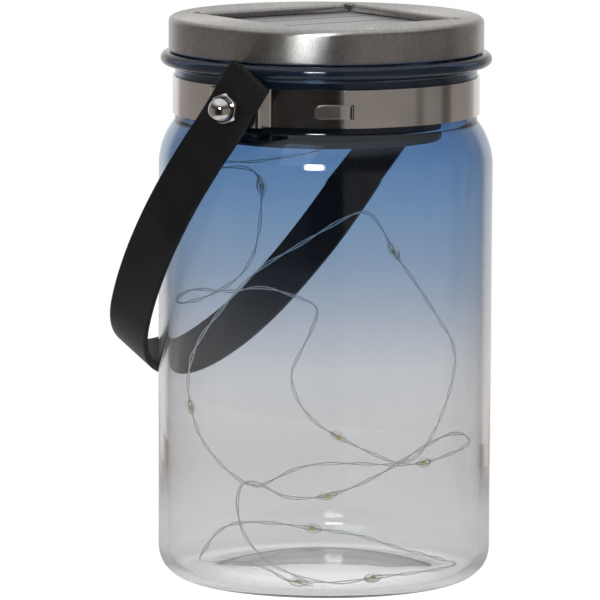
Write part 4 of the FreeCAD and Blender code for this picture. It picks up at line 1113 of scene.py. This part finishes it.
# Floor, light and surroundings
studio = {
    "floor": 0.5,
    "floorDrop": 0.0002,
    "floorTone": 0.62,
    "floorLight": 0.56,
    "floorFade": (0.075, 0.21),  # beyond this the floor shows mirrors the room's own tone
    # footGlow is painted light: an extra glow on the floor under the jar's foot that lifts the shade there
    "footGlow": 0.6,
    "footEdge": (0.044, 0.052),
    "keyPower": 4.0,
    "keySize": (0.5, 0.9),
    "keyPlace": (-80, 40),  # azimuth and elevation
    "keyDistance": 1.3,
    "keyAim": (0, 0, 0.1),
    "facing": -57.0,  # the studio is laid out about the camera's side
    "around": [  # grey at eye level, by the turn from the facing side, right hand positive
        (-180, 0.82), (-160, 0.85), (-150, 0.75), (-143, 0.36), (-126, 0.27), (-102, 0.23), (-75, 0.22),
        (-55, 0.09), (-35, 0.015), (11.5, 0.015), (13, 0.22), (35, 0.25), (70, 0.22), (73, 0.13), (77, 0.14),
        (80, 0.22), (95, 0.20),
        (99, 0.09), (106, 0.10), (109, 0.25), (134, 0.27), (143, 0.40), (150, 0.70), (160, 0.74), (180, 0.82),
    ],
    "above": [
        (-180, 0.80), (-120, 0.20), (-95, 0.09), (-60, 0.06), (-35, 0.07), (10, 0.07), (40, 0.08),
        (100, 0.10), (120, 0.25), (180, 0.80),
    ],
    "aboveFrom": (0.12, 0.25),  # sine of the height angle, as are the next pair
    "overheadFrom": (0.50, 0.80),
    "overhead": 0.75,
    "softbox": 58.0,
    "softboxAcross": [(-15.5, 0.0), (-13, 1.0), (-3.5, 1.0), (-1, 0.0)],
    "softboxUp": [(0.22, 0.0), (0.26, 1.0), (0.35, 1.0), (0.39, 0.0)],  # sine of the height angle
}


def roomTone(grey):  # the dim parts of the room are warmer
    return (grey, grey * (0.86 + 0.14 * grey), grey * (0.77 + 0.23 * grey))


def makeFloor(light):
    clearSelection()
    bpy.ops.mesh.primitive_plane_add(size=light["floor"], location=(0, 0, -light["floorDrop"]))
    floor = bpy.context.object
    floor.name = "paleFloor"
    shader = Shader("paleFloor")
    spot = shader.place(turn=(0, 0, math.radians(90 - light["facing"])))
    away = shader.add("ShaderNodeVectorMath", operation="LENGTH", inputs={0: spot}).outputs["Value"]
    turned = shader.add("ShaderNodeTexGradient", gradient_type="RADIAL", inputs={0: spot}).outputs["Fac"]
    far = shader.span(away, 0, 1, *light["floorFade"])
    near = light["floorTone"]
    shader.put(Base_Color=shader.ramp(far, [(0, (near,) * 3), (1, (0, 0, 0))], "LINEAR"), Roughness=0.9)
    rays = shader.add("ShaderNodeLightPath")
    mirrored = shader.span(rays.outputs["Glossy Depth"], 0, 1)
    tones = [(0.5 + turn / 360, roomTone(grey)) for turn, grey in light["around"]]
    reach = shader.add("ShaderNodeMath", operation="MULTIPLY", inputs={0: mirrored, 1: far}).outputs[0]
    tone = shader.mix(reach, (1, 1, 1, 1), shader.ramp(turned, tones, "LINEAR"))
    plain = light["floorLight"]
    lit = shader.add("ShaderNodeMath", operation="MULTIPLY_ADD", inputs={0: mirrored, 1: -plain, 2: plain})
    glow = shader.add("ShaderNodeMix", inputs={0: far, 2: lit.outputs[0], 3: 1.0}).outputs[0]
    # painted light: the floor glows under the jar's foot, lifting the shade there
    under = shader.span(away, light["footGlow"], 0, *light["footEdge"])
    total = shader.add("ShaderNodeMath", operation="ADD", inputs={0: glow, 1: under})
    shader.put(Emission_Color=tone, Emission_Strength=total.outputs[0])
    floor.data.materials.append(shader.material)


class Sky(Shader):  # the same node helpers on the world's tree
    def __init__(self, name):
        self.world = bpy.data.worlds.new(name)
        self.world.use_nodes = True
        self.tree = self.world.node_tree
        self.surface = self.tree.nodes["Background"]
        self.across = -200


def makeSky(light):
    sky = Sky("studioSky")
    spot = sky.place(turn=(0, 0, math.radians(90 - light["facing"])), kind="Generated")
    turned = sky.add("ShaderNodeTexGradient", gradient_type="RADIAL")
    sky.set(turned, "Vector", spot)
    split = sky.add("ShaderNodeSeparateXYZ")
    sky.set(split, "Vector", spot)
    turned, lifted = turned.outputs["Fac"], split.outputs["Z"]

    def band(name):
        return sky.ramp(turned, [(0.5 + turn / 360, roomTone(grey)) for turn, grey in light[name]], "LINEAR")

    room = sky.mix(sky.span(lifted, 0, 1, *light["aboveFrom"]), band("around"), band("above"))
    over = light["overhead"]
    room = sky.mix(sky.span(lifted, 0, 1, *light["overheadFrom"]), room, (over, over, over, 1))
    upward = sky.ramp(lifted, [(height, (grey,) * 3) for height, grey in light["softboxUp"]], "LINEAR")
    box = sky.add("ShaderNodeVectorMath", operation="MULTIPLY", inputs={0: band("softboxAcross"), 1: upward})
    lamp = (light["softbox"],) * 3
    lampIn = {0: box.outputs[0], 1: lamp, 2: room}
    room = sky.add("ShaderNodeVectorMath", operation="MULTIPLY_ADD", inputs=lampIn).outputs[0]
    rays = sky.add("ShaderNodeLightPath")  # what mirrors show is this room, and everything else sees white
    mirrored = sky.add("ShaderNodeMath", operation="MULTIPLY_ADD", use_clamp=True)
    sky.set(mirrored, 0, rays.outputs["Is Diffuse Ray"])
    sky.set(mirrored, 1, -9.0)
    sky.set(mirrored, 2, rays.outputs["Glossy Depth"])
    sky.put(Color=sky.mix(mirrored.outputs[0], (1, 1, 1, 1), room), Strength=1.0)
    sky.world.cycles.sampling_method = "NONE"
    bpy.context.scene.world = sky.world


def makeKeyLight(light):
    data = bpy.data.lights.new("keyLight", "AREA")
    data.energy = light["keyPower"]
    data.shape = "RECTANGLE"
    data.size, data.size_y = light["keySize"]
    lamp = bpy.data.objects.new("keyLight", data)
    bpy.context.collection.objects.link(lamp)
    away = outward(*light["keyPlace"])
    lamp.location = Vector(light["keyAim"]) + away * light["keyDistance"]
    lamp.rotation_euler = away.to_track_quat("Z", "Y").to_euler()
    lamp.visible_glossy = False


makeFloor(studio)
makeSky(studio)
makeKeyLight(studio)
print("studio set")
